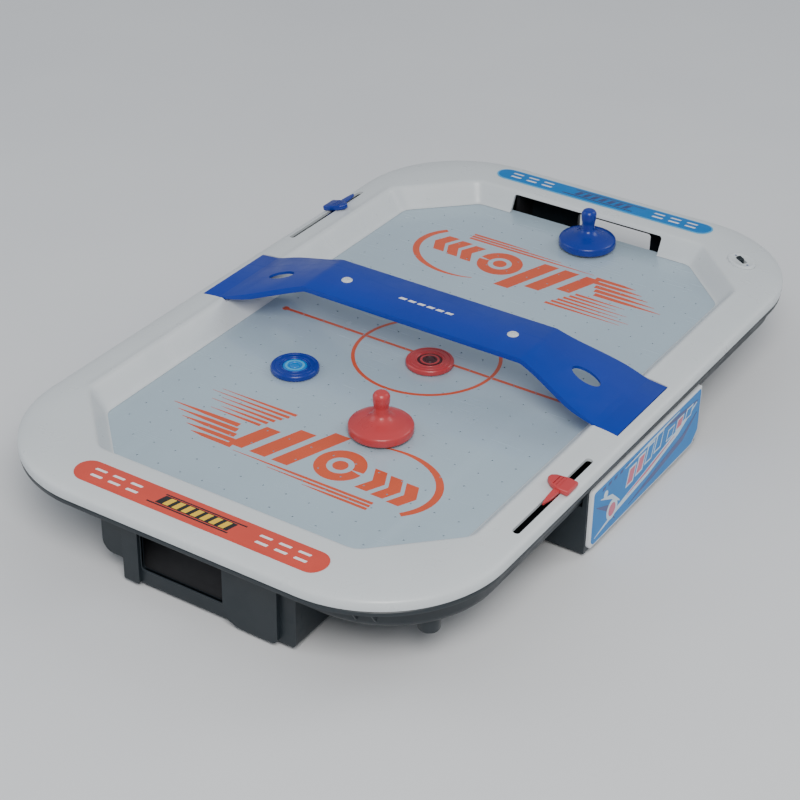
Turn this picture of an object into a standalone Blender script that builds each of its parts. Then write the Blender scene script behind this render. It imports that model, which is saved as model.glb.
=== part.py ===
"""Tabletop air hockey table: a white moulded rim around a perforated board, a black
air tray below it, a box across the middle with the fan and the cells, a leg with a
puck pocket at each end, an overhead bridge, two score sliders, two mallets, two pucks.

All sizes are in millimetres and are scaled to metres when a mesh is made.
The long axis is Y, the red player sits at -Y, +Z is up and the floor is Z = 0.
"""
import math

import bmesh
import bpy
from mathutils import Euler, Matrix, Vector

MM = 0.001
GAP = 0.3                  # clearance between touching pieces

# Rim
HALF_X, HALF_Y = 200.0, 320.0
CORNER_R = 102.0
LIP_BOTTOM, EDGE_Z, CREST_Z = 66.6, 73.0, 79.5
SHELL = 2.5
WALL_TOP = (170.0, 268.0, 58.0)       # half x, half y, corner cut of the inner edge
WALL_FOOT = (156.0, 259.0, 50.6)
CREST_STEPS = ((2.0, 75.2), (5.0, 76.5), (12.0, 77.9), (22.0, 79.0))   # (inset, height)

# Board and air tray
FIELD_Z = 61.0
BOARD_T = 3.3
BOARD = (162.0, 265.0, 54.0)
HOLE_PITCH, HOLE_R = 40.0, 1.0
TRAY_X, TRAY_Y, TRAY_R = 192.0, 303.0, 84.0
TRAY_BOTTOM, TRAY_WALL = 43.5, 2.2
FLANGE_TOP, FLANGE_BOTTOM, FLANGE_INSET = 66.3, 62.0, 0.6
TRAY_POST_X, TRAY_POST_Y, TRAY_POST_R = 166.0, 259.0, 8.0

# Goals, legs and pockets
GOAL_HALF, GOAL_TOP = 74.0, 76.5
LEG_X, LEG_Y0, LEG_Y1, LEG_NECK_Y = 85.0, 232.0, 300.0, 268.6
LEG_BOTTOM, LEG_TOP = 3.0, 63.4
OPENING = (-49.0, 24.5, 16.0, 58.0)   # pocket mouth: x0, x1, z0, z1
SHOULDER_X, SHOULDER_Z = 65.0, 18.0

# Centre box
BOX_X, BOX_Y, BOX_TOP = 196.0, 93.0, 61.7
BOX_WALL = 2.5
PANEL_Y, PANEL_Z0, PANEL_Z1 = 91.0, 6.0, 57.5
PANEL_CUTS = (3.0, 9.0)               # lower corners: nearer a player, nearer the blue side
DOOR = (-172.0, -60.0, -92.7, 34.0)   # x0, x1, y0, y1

# Score sliders
SLOT_X, SLOT_W = 190.0, 5.6
STEM_W = 4.4
SLOT_Y0, SLOT_Y1 = 80.0, 190.0
RED_SCORE_Y, BLUE_SCORE_Y = -124.0, 150.0
KNOB_Z, KNOB_TILT = 77.9, math.radians(11.0)   # underside over the slot, slope of the rim
KNOB_WING = ((-11.5, -1.0), (-11.0, 2.5), (-8.0, 5.5), (1.0, 9.0), (8.0, 9.5), (8.8, 8.0),
             (8.8, -5.0), (7.0, -7.0), (0.0, -8.0), (-6.0, -6.0), (-9.5, -3.5))

# Bridge: (x, underside z, half width) from the middle to a foot
BRIDGE_STATIONS = (
    (0.0, 103.4, 28.0), (96.0, 103.4, 28.0), (104.0, 101.8, 28.6), (128.0, 93.4, 32.0),
    (150.0, 85.4, 38.5), (162.0, 80.9, 41.0), (170.0, 77.8, 41.0), (174.0, 76.7, 41.0),
    (191.0, 74.95, 41.0),
)
BRIDGE_T = 2.6
BRIDGE_HOLE_X = 142.0
CAP_X = 77.0
SEAT_HALF = 41.8                       # half width of the seat cut in the rim for a foot
SEAT_FLOOR = ((172.0, 76.6), (191.6, 74.6))

# Loose pieces
MALLET_RED, MALLET_BLUE = (32.0, -115.0), (15.5, 239.0)
PUCK_RED, PUCK_BLUE = (9.0, -10.0), (-74.0, -77.0)
MALLET_R, MALLET_H = 25.0, 34.5
PUCK_R, PUCK_H, PUCK_INLAY_R = 19.25, 5.0, 10.0
FELT_T = 1.2

# Power switch on the far right corner
SWITCH_AT, SWITCH_TURN = (153.0, 258.0), math.radians(-35.0)
SWITCH_TRAVEL = 5.0

# Fan and cells
FAN_R, FAN_HUB_R, FAN_BLADES = 33.0, 9.0, 5
SHAFT_R = 1.5
CELL_R, CELL_L = 13.1, 50.0
SCREW_SPOTS = ((118.0, 311.0), (-118.0, 311.0), (118.0, -311.0), (-118.0, -311.0))

WHITE = (0.62, 0.64, 0.65)
BLACK = (0.02, 0.024, 0.03)
COLLECTION_NAME = "tabletop_air_hockey"


# ---------------------------------------------------------------- scene helpers

def clear_scene():
    for item in list(bpy.data.objects):
        bpy.data.objects.remove(item, do_unlink=True)


def make_collection(name):
    group = bpy.data.collections.new(name)
    bpy.context.scene.collection.children.link(group)
    return group


def material(name, colour, roughness=0.4, metallic=0.0):
    mat = bpy.data.materials.new(name)
    mat.use_nodes = True
    shader = mat.node_tree.nodes["Principled BSDF"]
    shader.inputs["Base Color"].default_value = (*colour, 1.0)
    shader.inputs["Roughness"].default_value = roughness
    shader.inputs["Metallic"].default_value = metallic
    return mat


def object_from(name, mesh_data, group, mat=None, origin=(0.0, 0.0, 0.0)):
    """Turn millimetre geometry into an object in metres with its origin at a point."""
    bmesh.ops.translate(mesh_data, verts=mesh_data.verts, vec=-Vector(origin))
    bmesh.ops.scale(mesh_data, verts=mesh_data.verts, vec=(MM, MM, MM))
    bmesh.ops.recalc_face_normals(mesh_data, faces=mesh_data.faces)
    mesh = bpy.data.meshes.new(name)
    mesh_data.to_mesh(mesh)
    mesh_data.free()
    item = bpy.data.objects.new(name, mesh)
    item.location = Vector(origin) * MM
    group.objects.link(item)
    if mat:
        mesh.materials.append(mat)
    return item


def part(name, mesh_data, mat, origin=(0.0, 0.0, 0.0)):
    return object_from(name, mesh_data, PARTS, mat, origin)


def cutter(mesh_data):
    item = object_from("cutter", mesh_data, CUTTERS)
    item.hide_render = True
    item.display_type = "WIRE"
    return item


def combine(target, tool, operation):
    """Add a Boolean that cuts the tool from the target or joins it to it."""
    step = target.modifiers.new(operation.lower(), "BOOLEAN")
    step.operation = operation
    step.solver = "EXACT"
    step.object = tool


def cut(target, *shapes):
    for shape in shapes:
        combine(target, cutter(shape), "DIFFERENCE")


def join(target, *shapes):
    for shape in shapes:
        combine(target, cutter(shape), "UNION")


def bevel(item, width, segments=2):
    step = item.modifiers.new("edges", "BEVEL")
    step.width = width * MM
    step.segments = segments
    step.limit_method = "ANGLE"


def smooth(item, angle=40.0):
    item.data.shade_smooth()
    item.data.set_sharp_from_angle(angle=math.radians(angle))


# ---------------------------------------------------------------- shape helpers

def block(x0, x1, y0, y1, z0, z1):
    shape = bmesh.new()
    bmesh.ops.create_cube(shape, size=1.0)
    bmesh.ops.scale(shape, verts=shape.verts, vec=(x1 - x0, y1 - y0, z1 - z0))
    middle = Vector(((x0 + x1) / 2, (y0 + y1) / 2, (z0 + z1) / 2))
    bmesh.ops.translate(shape, verts=shape.verts, vec=middle)
    return shape


def disc(x, y, z0, z1, radius, sides=24):
    shape = bmesh.new()
    bmesh.ops.create_cone(shape, cap_ends=True, segments=sides, radius1=radius,
                          radius2=radius, depth=z1 - z0)
    bmesh.ops.translate(shape, verts=shape.verts, vec=(x, y, (z0 + z1) / 2))
    return shape


def oval(x, y, z0, z1, radius_x, radius_y, sides=24, turn=0.0):
    shape = disc(0, 0, z0, z1, 1.0, sides)
    bmesh.ops.scale(shape, verts=shape.verts, vec=(radius_x, radius_y, 1.0))
    bmesh.ops.rotate(shape, verts=shape.verts, matrix=Matrix.Rotation(turn, 3, "Z"))
    bmesh.ops.translate(shape, verts=shape.verts, vec=(x, y, 0))
    return shape


def turned_block(size, centre, turn):
    """A box of the given size, turned about Z around its centre."""
    shape = block(-size[0] / 2, size[0] / 2, -size[1] / 2, size[1] / 2,
                  -size[2] / 2, size[2] / 2)
    bmesh.ops.rotate(shape, verts=shape.verts, matrix=Matrix.Rotation(turn, 3, "Z"))
    bmesh.ops.translate(shape, verts=shape.verts, vec=centre)
    return shape


def prism(points, axis, low, high):
    """Extrude a flat outline; points are (y, z) along X, (x, z) along Y, (x, y) along Z."""
    shape = bmesh.new()
    place = {
        "X": lambda u, z: (low, u, z),
        "Y": lambda u, z: (u, low, z),
        "Z": lambda x, y: (x, y, low),
    }[axis]
    face = shape.faces.new([shape.verts.new(place(u, z)) for u, z in points])
    along = Vector([float(axis == name) for name in "XYZ"])
    grown = bmesh.ops.extrude_face_region(shape, geom=[face])["geom"]
    moved = [v for v in grown if isinstance(v, bmesh.types.BMVert)]
    bmesh.ops.translate(shape, verts=moved, vec=along * (high - low))
    return shape


def half_turned(shape):
    """The same shape turned half a turn about the table's middle."""
    bmesh.ops.rotate(shape, verts=shape.verts, matrix=Matrix.Rotation(math.pi, 3, "Z"))
    return shape


def round_rect_reach(half_x, half_y, radius):
    """Distance from the middle to a rounded rectangle along a direction."""
    def reach(angle):
        c, s = abs(math.cos(angle)), abs(math.sin(angle))
        if c > 1e-9 and half_x / c * s <= half_y - radius:
            return half_x / c
        if s > 1e-9 and half_y / s * c <= half_x - radius:
            return half_y / s
        ax, ay = half_x - radius, half_y - radius
        along = c * ax + s * ay
        return along + math.sqrt(along * along - ax * ax - ay * ay + radius * radius)
    return reach


def octagon_reach(half_x, half_y, corner):
    """Distance from the middle to a rectangle with its corners cut at 45 degrees."""
    def reach(angle):
        c, s = abs(math.cos(angle)), abs(math.sin(angle))
        runs = [(half_x + half_y - corner) / (c + s)]
        if c > 1e-9:
            runs.append(half_x / c)
        if s > 1e-9:
            runs.append(half_y / s)
        return min(runs)
    return reach


def round_keys(half_x, half_y, radius, steps=7):
    """Directions of the points that a corner arc needs."""
    ax, ay = half_x - radius, half_y - radius
    turns = [math.pi / 2 * i / steps for i in range(steps + 1)]
    return [math.atan2(ay + radius * math.sin(t), ax + radius * math.cos(t)) for t in turns]


def octagon_keys(half_x, half_y, corner):
    return [math.atan2(half_y - corner, half_x), math.atan2(half_y, half_x - corner)]


def all_round(first_quadrant):
    """Mirror first-quadrant directions into the other three."""
    keys = sorted(set(round(a, 6) for a in first_quadrant))
    turns = keys + [math.pi - a for a in reversed(keys)]
    turns += [math.pi + a for a in keys] + [2 * math.pi - a for a in reversed(keys)]
    return turns


def loft(levels, keys, ring):
    """Skin outlines (reach, z) in order; a ring closes on its first outline."""
    shape = bmesh.new()
    loops = []
    for reach, z in levels:
        loop = [shape.verts.new((reach(a) * math.cos(a), reach(a) * math.sin(a), z))
                for a in keys]
        loops.append(loop)
    pairs = list(zip(loops, loops[1:]))
    if ring:
        pairs.append((loops[-1], loops[0]))
    for lower, upper in pairs:
        for i in range(len(keys)):
            j = (i + 1) % len(keys)
            shape.faces.new((lower[i], lower[j], upper[j], upper[i]))
    if not ring:
        shape.faces.new(list(reversed(loops[0])))
        shape.faces.new(loops[-1])
    return shape


def turned(name, profile, at, mat, sides=32):
    """A turned piece: a profile from top to bottom swept by a Screw modifier."""
    mesh = bpy.data.meshes.new(name)
    verts = [(r * MM, 0.0, z * MM) for r, z in profile]
    mesh.from_pydata(verts, [(i, i + 1) for i in range(len(verts) - 1)], [])
    mesh.materials.append(mat)
    item = bpy.data.objects.new(name, mesh)
    item.location = Vector(at) * MM
    PARTS.objects.link(item)
    step = item.modifiers.new("turn", "SCREW")
    step.steps = sides
    step.render_steps = sides
    step.use_merge_vertices = True
    step.merge_threshold = 0.00005
    step.use_smooth_shade = True
    return item


def crest_height(inset):
    """Height of the rim's upper skin at a distance in from its outer edge."""
    points = ((0.0, EDGE_Z), *CREST_STEPS, (34.0, CREST_Z), (200.0, CREST_Z))
    for (d0, z0), (d1, z1) in zip(points, points[1:]):
        if inset <= d1:
            return z0 + (z1 - z0) * (inset - d0) / (d1 - d0)
    return CREST_Z


# ---------------------------------------------------------------- frame pieces

def rim_frame(mat):
    def inset(d):
        return round_rect_reach(HALF_X - d, HALF_Y - d, CORNER_R - d)

    keys = all_round(round_keys(HALF_X, HALF_Y, CORNER_R)
                     + octagon_keys(*WALL_TOP) + octagon_keys(*WALL_FOOT))
    hx, hy, c = WALL_TOP
    fx, fy, fc = WALL_FOOT
    levels = [(inset(0), LIP_BOTTOM), (inset(0), EDGE_Z)]
    levels += [(inset(d), z) for d, z in CREST_STEPS]
    levels += [(octagon_reach(*WALL_TOP), CREST_Z),
               (octagon_reach(*WALL_FOOT), FIELD_Z + GAP),
               (octagon_reach(fx + 3, fy + 3, fc + 1.8), FIELD_Z + GAP),
               (octagon_reach(hx + SHELL, hy + SHELL, c + 1.5), CREST_Z - SHELL)]
    levels += [(inset(d), z - SHELL) for d, z in reversed(CREST_STEPS)]
    levels += [(inset(SHELL), EDGE_Z - 1.2), (inset(SHELL), LIP_BOTTOM)]
    item = part("rim_frame", loft(levels, keys, ring=True), mat)
    (seat_x0, seat_z0), (seat_x1, seat_z1) = SEAT_FLOOR
    for side in (1, -1):
        floor = ((169.5, 77.0), (194.6, 74.4), (194.6, 72.0), (169.5, 74.2))
        join(item, prism([(side * x, z) for x, z in floor], "Y",
                         -SEAT_HALF - SHELL, SEAT_HALF + SHELL))
        seat = ((158.0, seat_z0), (seat_x0, seat_z0), (seat_x1, seat_z1), (seat_x1, 90.0),
                (158.0, 90.0))
        cut(item, prism([(side * x, z) for x, z in seat], "Y", -SEAT_HALF, SEAT_HALF))
    for x, y in SCREW_SPOTS:
        join(item, disc(x, y, LIP_BOTTOM, 75.0, 4.5, 12))
        cut(item, disc(x, y, LIP_BOTTOM - 2, 74.0, 2.0, 8))
    for sign in (1, -1):
        cut(item, block(*sorted((sign * (SLOT_X - SLOT_W / 2), sign * (SLOT_X + SLOT_W / 2))),
                        *sorted((-sign * SLOT_Y0, -sign * SLOT_Y1)), 60, 90))
        cut(item, block(-GOAL_HALF, GOAL_HALF,
                        *sorted((sign * 250.0, sign * 276.0)), 58.0, GOAL_TOP))
    cut(item, oval(*SWITCH_AT, 70, 90, 13.5, 8.5, 20, SWITCH_TURN))
    return item


def play_field(mat):
    keys = all_round(octagon_keys(*BOARD))
    reach = octagon_reach(*BOARD)
    item = part("play_field", loft([(reach, FIELD_Z - BOARD_T), (reach, FIELD_Z)],
                                   keys, ring=False), mat)
    holes = bmesh.new()
    for row in range(-6, 7):
        for column in range(-3, 4):
            x, y = column * HOLE_PITCH, row * HOLE_PITCH
            if abs(x) + abs(y) > 340.0:
                continue
            at = Matrix.Translation((x, y, FIELD_Z - BOARD_T / 2))
            bmesh.ops.create_cone(holes, cap_ends=True, segments=6, radius1=HOLE_R,
                                  radius2=HOLE_R, depth=BOARD_T + 2, matrix=at)
    cut(item, holes)
    return item


def field_support(mat):
    """The wall under the board's edge that closes the air space."""
    keys = all_round(octagon_keys(*BOARD))
    outer = octagon_reach(BOARD[0] - 1, BOARD[1] - 1, BOARD[2])
    inner = octagon_reach(BOARD[0] - 4, BOARD[1] - 4, BOARD[2] - 1.8)
    low, high = TRAY_BOTTOM + TRAY_WALL + GAP, FIELD_Z - BOARD_T - GAP
    levels = [(outer, low), (outer, high), (inner, high), (inner, low)]
    return part("field_support", loft(levels, keys, ring=True), mat)


def air_tray(mat):
    keys = all_round(round_keys(HALF_X, HALF_Y, CORNER_R)
                     + round_keys(TRAY_X, TRAY_Y, TRAY_R, 4))

    def wall(d):
        return round_rect_reach(TRAY_X - d, TRAY_Y - d, TRAY_R - d)

    flange = round_rect_reach(HALF_X - FLANGE_INSET, HALF_Y - FLANGE_INSET,
                              CORNER_R - FLANGE_INSET)
    levels = [(wall(6), TRAY_BOTTOM), (wall(1.8), TRAY_BOTTOM + 1.8),
              (wall(0), TRAY_BOTTOM + 6), (wall(0), FLANGE_BOTTOM),
              (flange, FLANGE_BOTTOM), (flange, FLANGE_TOP),
              (wall(TRAY_WALL), FLANGE_TOP), (wall(TRAY_WALL), TRAY_BOTTOM + 6),
              (wall(8), TRAY_BOTTOM + TRAY_WALL)]
    item = part("air_tray", loft(levels, keys, ring=False), mat)
    for x in (-TRAY_POST_X, TRAY_POST_X):
        for y in (-TRAY_POST_Y, TRAY_POST_Y):
            join(item, disc(x, y, 31.0, 44.8, TRAY_POST_R, 16))
    for sign in (1, -1):
        cut(item, block(-LEG_X - 0.6, LEG_X + 0.6,
                        *sorted((sign * (LEG_NECK_Y - 0.4), sign * 305.5)), 40.0, LEG_TOP + GAP))
    cut(item, disc(0, 0, 40, 50, 30.0, 24), disc(183.6, 56, 40, 55, 3.5, 8))
    for x, y in SCREW_SPOTS:
        cut(item, disc(x, y, 60, 70, 2.0, 8))
    return item


def end_leg(name, far, mat):
    """A hollow leg under the tray whose mouth gives the scored pucks back."""
    shift = half_turned if far else (lambda shape: shape)
    low = -LEG_Y1
    item = part(name, shift(block(-LEG_X, LEG_X, low, -LEG_Y0, LEG_BOTTOM, 43.2)), mat)
    x0, x1, z0, z1 = OPENING
    inner = LEG_X - BOX_WALL
    join(item, shift(block(-LEG_X, LEG_X, low, -LEG_NECK_Y, 40.0, LEG_TOP)),
         shift(block(-64.0, -50.0, low - 3.0, low + 1.0, LEG_BOTTOM, LEG_TOP)),
         shift(block(25.5, 72.0, low - 4.0, low + 1.0, LEG_BOTTOM, LEG_TOP)))
    cut(item, shift(block(-LEG_X - 2, -SHOULDER_X, low - 5, -LEG_Y0 + 5, 0.0, SHOULDER_Z)),
        shift(block(-inner, inner, low + 2.5, -LEG_Y0 - 2.5, SHOULDER_Z + 2.5, 40.7)),
        shift(block(-SHOULDER_X + 2.5, inner, low + 2.5, -LEG_Y0 - 2.5, 5.5, 25.0)),
        shift(block(-inner, inner, low + 2.5, -LEG_NECK_Y - 2.5, 38.0, 70.0)),
        shift(block(-80.0, 80.0, -LEG_NECK_Y - 6.0, -LEG_NECK_Y + 4.0, 48.0, 70.0)),
        shift(block(x0, x1, low - 6.0, low + 6.0, z0, z1)))
    return item


def goal_pocket(name, far, mat):
    """The ramp and cheeks that lead a puck from the goal to the leg's mouth."""
    shift = half_turned if far else (lambda shape: shape)
    ramp = ((-265.4, 60.6), (-265.4, 58.4), (-269.0, 52.6), (-296.0, 11.0), (-297.2, 11.0),
            (-297.2, 14.0))
    item = part(name, shift(prism(ramp, "X", -73.5, 73.5)), mat)
    for side in (-1, 1):
        join(item, shift(block(*sorted((side * 71.8, side * 75.0)), -297.0, -271.8,
                               11.5, 75.4)))
    join(item, shift(block(-73.0, 73.0, -296.8, -294.5, 60.0, 75.0)))
    cut(item, shift(block(-80.0, -SHOULDER_X + 2.8, -300.0, -262.0, 0.0, SHOULDER_Z + 2.8)))
    return item


def centre_box(mat):
    item = part("centre_box", block(-BOX_X, BOX_X, -BOX_Y, BOX_Y, LEG_BOTTOM, BOX_TOP), mat)
    x0, x1, y0, y1 = DOOR
    cut(item, block(-BOX_X + BOX_WALL, BOX_X - BOX_WALL, -BOX_Y + BOX_WALL, BOX_Y - BOX_WALL,
                    LEG_BOTTOM + BOX_WALL, 80.0),
        block(-TRAY_X - 0.4, TRAY_X + 0.4, -BOX_Y - 5, BOX_Y + 5, TRAY_BOTTOM - GAP, 80.0),
        disc(0, 0, 0, 10, 38.0, 32),
        block(x0 - 0.4, x1 + 0.4, -BOX_Y - 5, y1 + 0.4, 0.0, 5.8))
    return item


def side_plate(name, side, depth, margin, mat):
    """A plate on an end of the centre box with its lower corners cut off."""
    hy, z0, z1 = PANEL_Y - margin, PANEL_Z0 + margin, PANEL_Z1 - margin
    near, far = PANEL_CUTS if side > 0 else PANEL_CUTS[::-1]
    outline = ((-hy, z1), (-hy, z0 + near), (-hy + near, z0), (hy - far, z0),
               (hy, z0 + far), (hy, z1))
    return part(name, prism(outline, "X", *sorted((side * depth[0], side * depth[1]))), mat)


def end_label(name, sign, mat):
    """A stadium-shaped label that follows the crest of an end of the rim."""
    middle, half_length, radius = 295.0, 108.0, 11.5
    shape = bmesh.new()
    points = []
    for end in (1, -1):
        for i in range(9):
            t = end * (-math.pi / 2 + math.pi * i / 8)
            if end < 0:
                t = math.pi / 2 + math.pi * i / 8
            points.append((end * (half_length - radius) + radius * math.cos(t),
                           middle + radius * math.sin(t)))
    face = shape.faces.new([shape.verts.new((x, y, 0)) for x, y in points])
    grown = bmesh.ops.extrude_face_region(shape, geom=[face])["geom"]
    top = [v for v in grown if isinstance(v, bmesh.types.BMVert)]
    bmesh.ops.translate(shape, verts=top, vec=(0, 0, 0.5))
    for d, _z in CREST_STEPS:
        geometry = shape.verts[:] + shape.edges[:] + shape.faces[:]
        bmesh.ops.bisect_plane(shape, geom=geometry, plane_co=(0, HALF_Y - d, 0),
                               plane_no=(0, 1, 0))
    for vert in shape.verts:
        vert.co.z += crest_height(HALF_Y - vert.co.y) + GAP
    if sign < 0:
        half_turned(shape)
    return part(name, shape, mat)


# ---------------------------------------------------------------- bridge

def bridge(mat):
    shape = bmesh.new()
    stations = [(-x, z, w) for x, z, w in reversed(BRIDGE_STATIONS[1:])] + list(BRIDGE_STATIONS)
    loops = []
    for x, z, w in stations:
        corners = ((-w, z), (w, z), (w, z + BRIDGE_T), (-w, z + BRIDGE_T))
        loops.append([shape.verts.new((x, y, height)) for y, height in corners])
    for first, second in zip(loops, loops[1:]):
        for i in range(4):
            j = (i + 1) % 4
            shape.faces.new((first[i], first[j], second[j], second[i]))
    shape.faces.new(loops[0])
    shape.faces.new(list(reversed(loops[-1])))
    item = part("bridge", shape, mat)
    for side in (-1, 1):
        cut(item, oval(side * BRIDGE_HOLE_X, 0, 70, 120, 12.0, 7.5, 20),
            disc(side * CAP_X, 0, 90, 120, 2.4, 12))
    return item


def bridge_cap(name, side, mat):
    profile = ((0.0, 1.6), (3.0, 1.3), (4.6, 0.3), (2.0, 0.3), (2.0, -4.0), (0.0, -4.0))
    top = BRIDGE_STATIONS[0][1] + BRIDGE_T
    return turned(name, profile, (side * CAP_X, 0, top), mat, 16)


# ---------------------------------------------------------------- score sliders

def score_slider(name, sign, y, mat):
    """A wing-shaped knob with a pointer, and a stem that runs in the rim's slot."""
    x = sign * SLOT_X
    lean = Matrix.Rotation(sign * KNOB_TILT, 3, "Y")
    knob = prism([(sign * u, sign * v) for u, v in KNOB_WING], "Z", 0.0, 4.4)
    pointer = block(-2.0, 2.0, *sorted((0.0, -sign * 27.0)), 0.2, 2.6)
    for shape in (knob, pointer):
        bmesh.ops.rotate(shape, verts=shape.verts, matrix=lean)
        bmesh.ops.translate(shape, verts=shape.verts, vec=(x, y, KNOB_Z))
    item = part(name, knob, mat, (x, y, KNOB_Z))
    join(item, block(x - STEM_W / 2, x + STEM_W / 2, y - 3.5, y + 3.5, 70.4, KNOB_Z + 3.0),
         pointer)
    return item


def score_clip(name, sign, y, mat):
    x = sign * SLOT_X
    item = part(name, block(x - 6.0, x + 6.0, y - 8.0, y + 8.0, 69.3, 72.2), mat,
                (x, y, 69.3))
    cut(item, block(x - STEM_W / 2 - GAP, x + STEM_W / 2 + GAP, y - 3.8, y + 3.8, 68.0, 74.0))
    return item


# ---------------------------------------------------------------- loose pieces

def mallet(colour, at, body_mat, felt_mat):
    low = FIELD_Z + GAP + FELT_T + GAP
    h, r = MALLET_H, MALLET_R
    profile = ((0.0, h), (2.6, h - 0.3), (4.8, h - 1.6), (6.3, h - 4.2), (6.5, h - 7.0),
               (5.8, h - 11.0), (5.4, h - 15.0), (6.2, h - 18.5), (9.5, h - 21.5),
               (15.0, h - 23.6), (21.0, h - 25.6), (24.2, h - 27.6), (r, h - 30.0),
               (r, 1.0), (r - 1.0, 0.0), (0.0, 0.0))
    turned("mallet_" + colour, profile, (*at, low), body_mat)
    felt = ((0.0, FELT_T), (r - 3.0, FELT_T), (r - 3.0, 0.0), (0.0, 0.0))
    turned("mallet_felt_" + colour, felt, (*at, FIELD_Z + GAP), felt_mat, 24)


def puck(colour, at, ring_mat, inlay_mat):
    r, h, inlay = PUCK_R, PUCK_H, PUCK_INLAY_R
    ring = ((inlay, h - 0.4), (inlay + 1.0, h), (r - 1.0, h), (r, h - 1.0), (r, 1.0),
            (r - 1.0, 0.0), (inlay, 0.0), (inlay, h - 0.4))
    turned("puck_ring_" + colour, ring, (*at, FIELD_Z + GAP), ring_mat)
    disc_profile = ((0.0, h - 0.6), (inlay - GAP, h - 0.6), (inlay - GAP, 0.4), (0.0, 0.4))
    turned("puck_inlay_" + colour, disc_profile, (*at, FIELD_Z + GAP), inlay_mat, 24)


# ---------------------------------------------------------------- power switch

def power_switch(white, black):
    x, y = SWITCH_AT
    bezel = part("switch_bezel", oval(x, y, CREST_Z + GAP, CREST_Z + 1.8, 15.5, 10.5, 24,
                                      SWITCH_TURN), white)
    join(bezel, oval(x, y, 74.4, CREST_Z + 1.0, 13.1, 8.1, 24, SWITCH_TURN))
    cut(bezel, turned_block((12.6, 5.0, 20.0), (x, y, CREST_Z), SWITCH_TURN))
    part("switch_body", turned_block((20.0, 10.0, 6.0), (x, y, 71.0), SWITCH_TURN), black)
    along = Matrix.Rotation(SWITCH_TURN, 3, "Z") @ Vector((-SWITCH_TRAVEL / 2, 0, 0))
    start = Vector((x, y, 0)) + along
    knob = part("switch_knob", turned_block((6.6, 4.2, 7.6), start + Vector((0, 0, 78.3)),
                                            SWITCH_TURN), black, start)
    bevel(knob, 0.5, 1)


# ---------------------------------------------------------------- fan and cells

def fan(plastic, metal, black):
    motor = part("fan_motor", disc(0, 0, 7.0, 22.0, 12.0, 24), metal)
    cut(motor, disc(0, 0, 12.0, 30.0, SHAFT_R + GAP, 12))
    part("motor_shaft", disc(0, 0, 12.5, 32.0, SHAFT_R, 12), metal)
    mount = part("motor_mount", block(-39.0, 39.0, -5.0, 5.0, 18.0, 20.5), black)
    join(mount, disc(0, 0, 18.0, 20.5, 16.0, 24))
    cut(mount, disc(0, 0, 10.0, 30.0, 12.0 + GAP, 24))
    shroud = part("fan_shroud", disc(0, 0, 20.8, 42.9, 39.0, 32), black)
    cut(shroud, disc(0, 0, 10.0, 50.0, 36.0, 32))
    impeller = part("fan_impeller", disc(0, 0, 24.0, 36.0, FAN_HUB_R, 20), plastic)
    for i in range(FAN_BLADES):
        blade = block(FAN_HUB_R - 2.0, FAN_R, -7.0, 7.0, -0.8, 0.8)
        tilt = Euler((math.radians(35.0), 0, 0)).to_matrix()
        bmesh.ops.rotate(blade, verts=blade.verts, matrix=tilt)
        bmesh.ops.translate(blade, verts=blade.verts, vec=(0, 0, 30.0))
        turn = Matrix.Rotation(2 * math.pi * i / FAN_BLADES, 3, "Z")
        bmesh.ops.rotate(blade, verts=blade.verts, matrix=turn)
        join(impeller, blade)
    cut(impeller, disc(0, 0, 20.0, 32.3, SHAFT_R + GAP, 12))
    grille = part("inlet_grille", disc(0, 0, LEG_BOTTOM, 5.3, 37.7, 32), black)
    for i in range(-3, 4):
        y = i * 9.0
        half = math.sqrt(34.0 ** 2 - (abs(y) + 2.2) ** 2)
        cut(grille, block(-half, half, y - 2.2, y + 2.2, 0, 10))


def battery_bay(black, metal, cell_mat):
    x0, x1, y0, y1 = DOOR
    tray = part("battery_tray", block(x0 - 6, x1 + 6, -36.0, y1 + 6, 6.1, 8.1), black)
    join(tray, block(x0 + 1, x1 - 1, -30.0, 32.0, 7.0, 38.0))
    cut(tray, block(x0 + 3, x1 - 3, -28.0, 30.0, 0.0, 36.0))
    door = part("battery_door", block(x0, x1, y0, y1, 3.2, 5.4), black)
    bevel(door, 0.4, 1)
    for row, y in enumerate((-13.3, 15.3)):
        for column in range(2):
            start = x0 + 5.4 + column * (CELL_L + 0.5)
            cell = disc(0, 0, 0, CELL_L - 1.5, CELL_R, 16)
            spin = Matrix.Rotation(math.pi / 2, 3, "Y")
            bmesh.ops.rotate(cell, verts=cell.verts, matrix=spin)
            bmesh.ops.translate(cell, verts=cell.verts, vec=(start, y, 20.5))
            item = part(f"cell_{row * 2 + column + 1}", cell, cell_mat)
            tip = disc(0, 0, CELL_L - 3, CELL_L, 3.5, 12)
            bmesh.ops.rotate(tip, verts=tip.verts, matrix=spin)
            bmesh.ops.translate(tip, verts=tip.verts, vec=(start, y, 20.5))
            join(item, tip)
    for name, x in (("contact_plate_left", x0 + 3.4), ("contact_plate_right", x1 - 4.2)):
        part(name, block(x, x + 0.8, -26.0, 28.0, 10.0, 32.0), metal)


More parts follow.
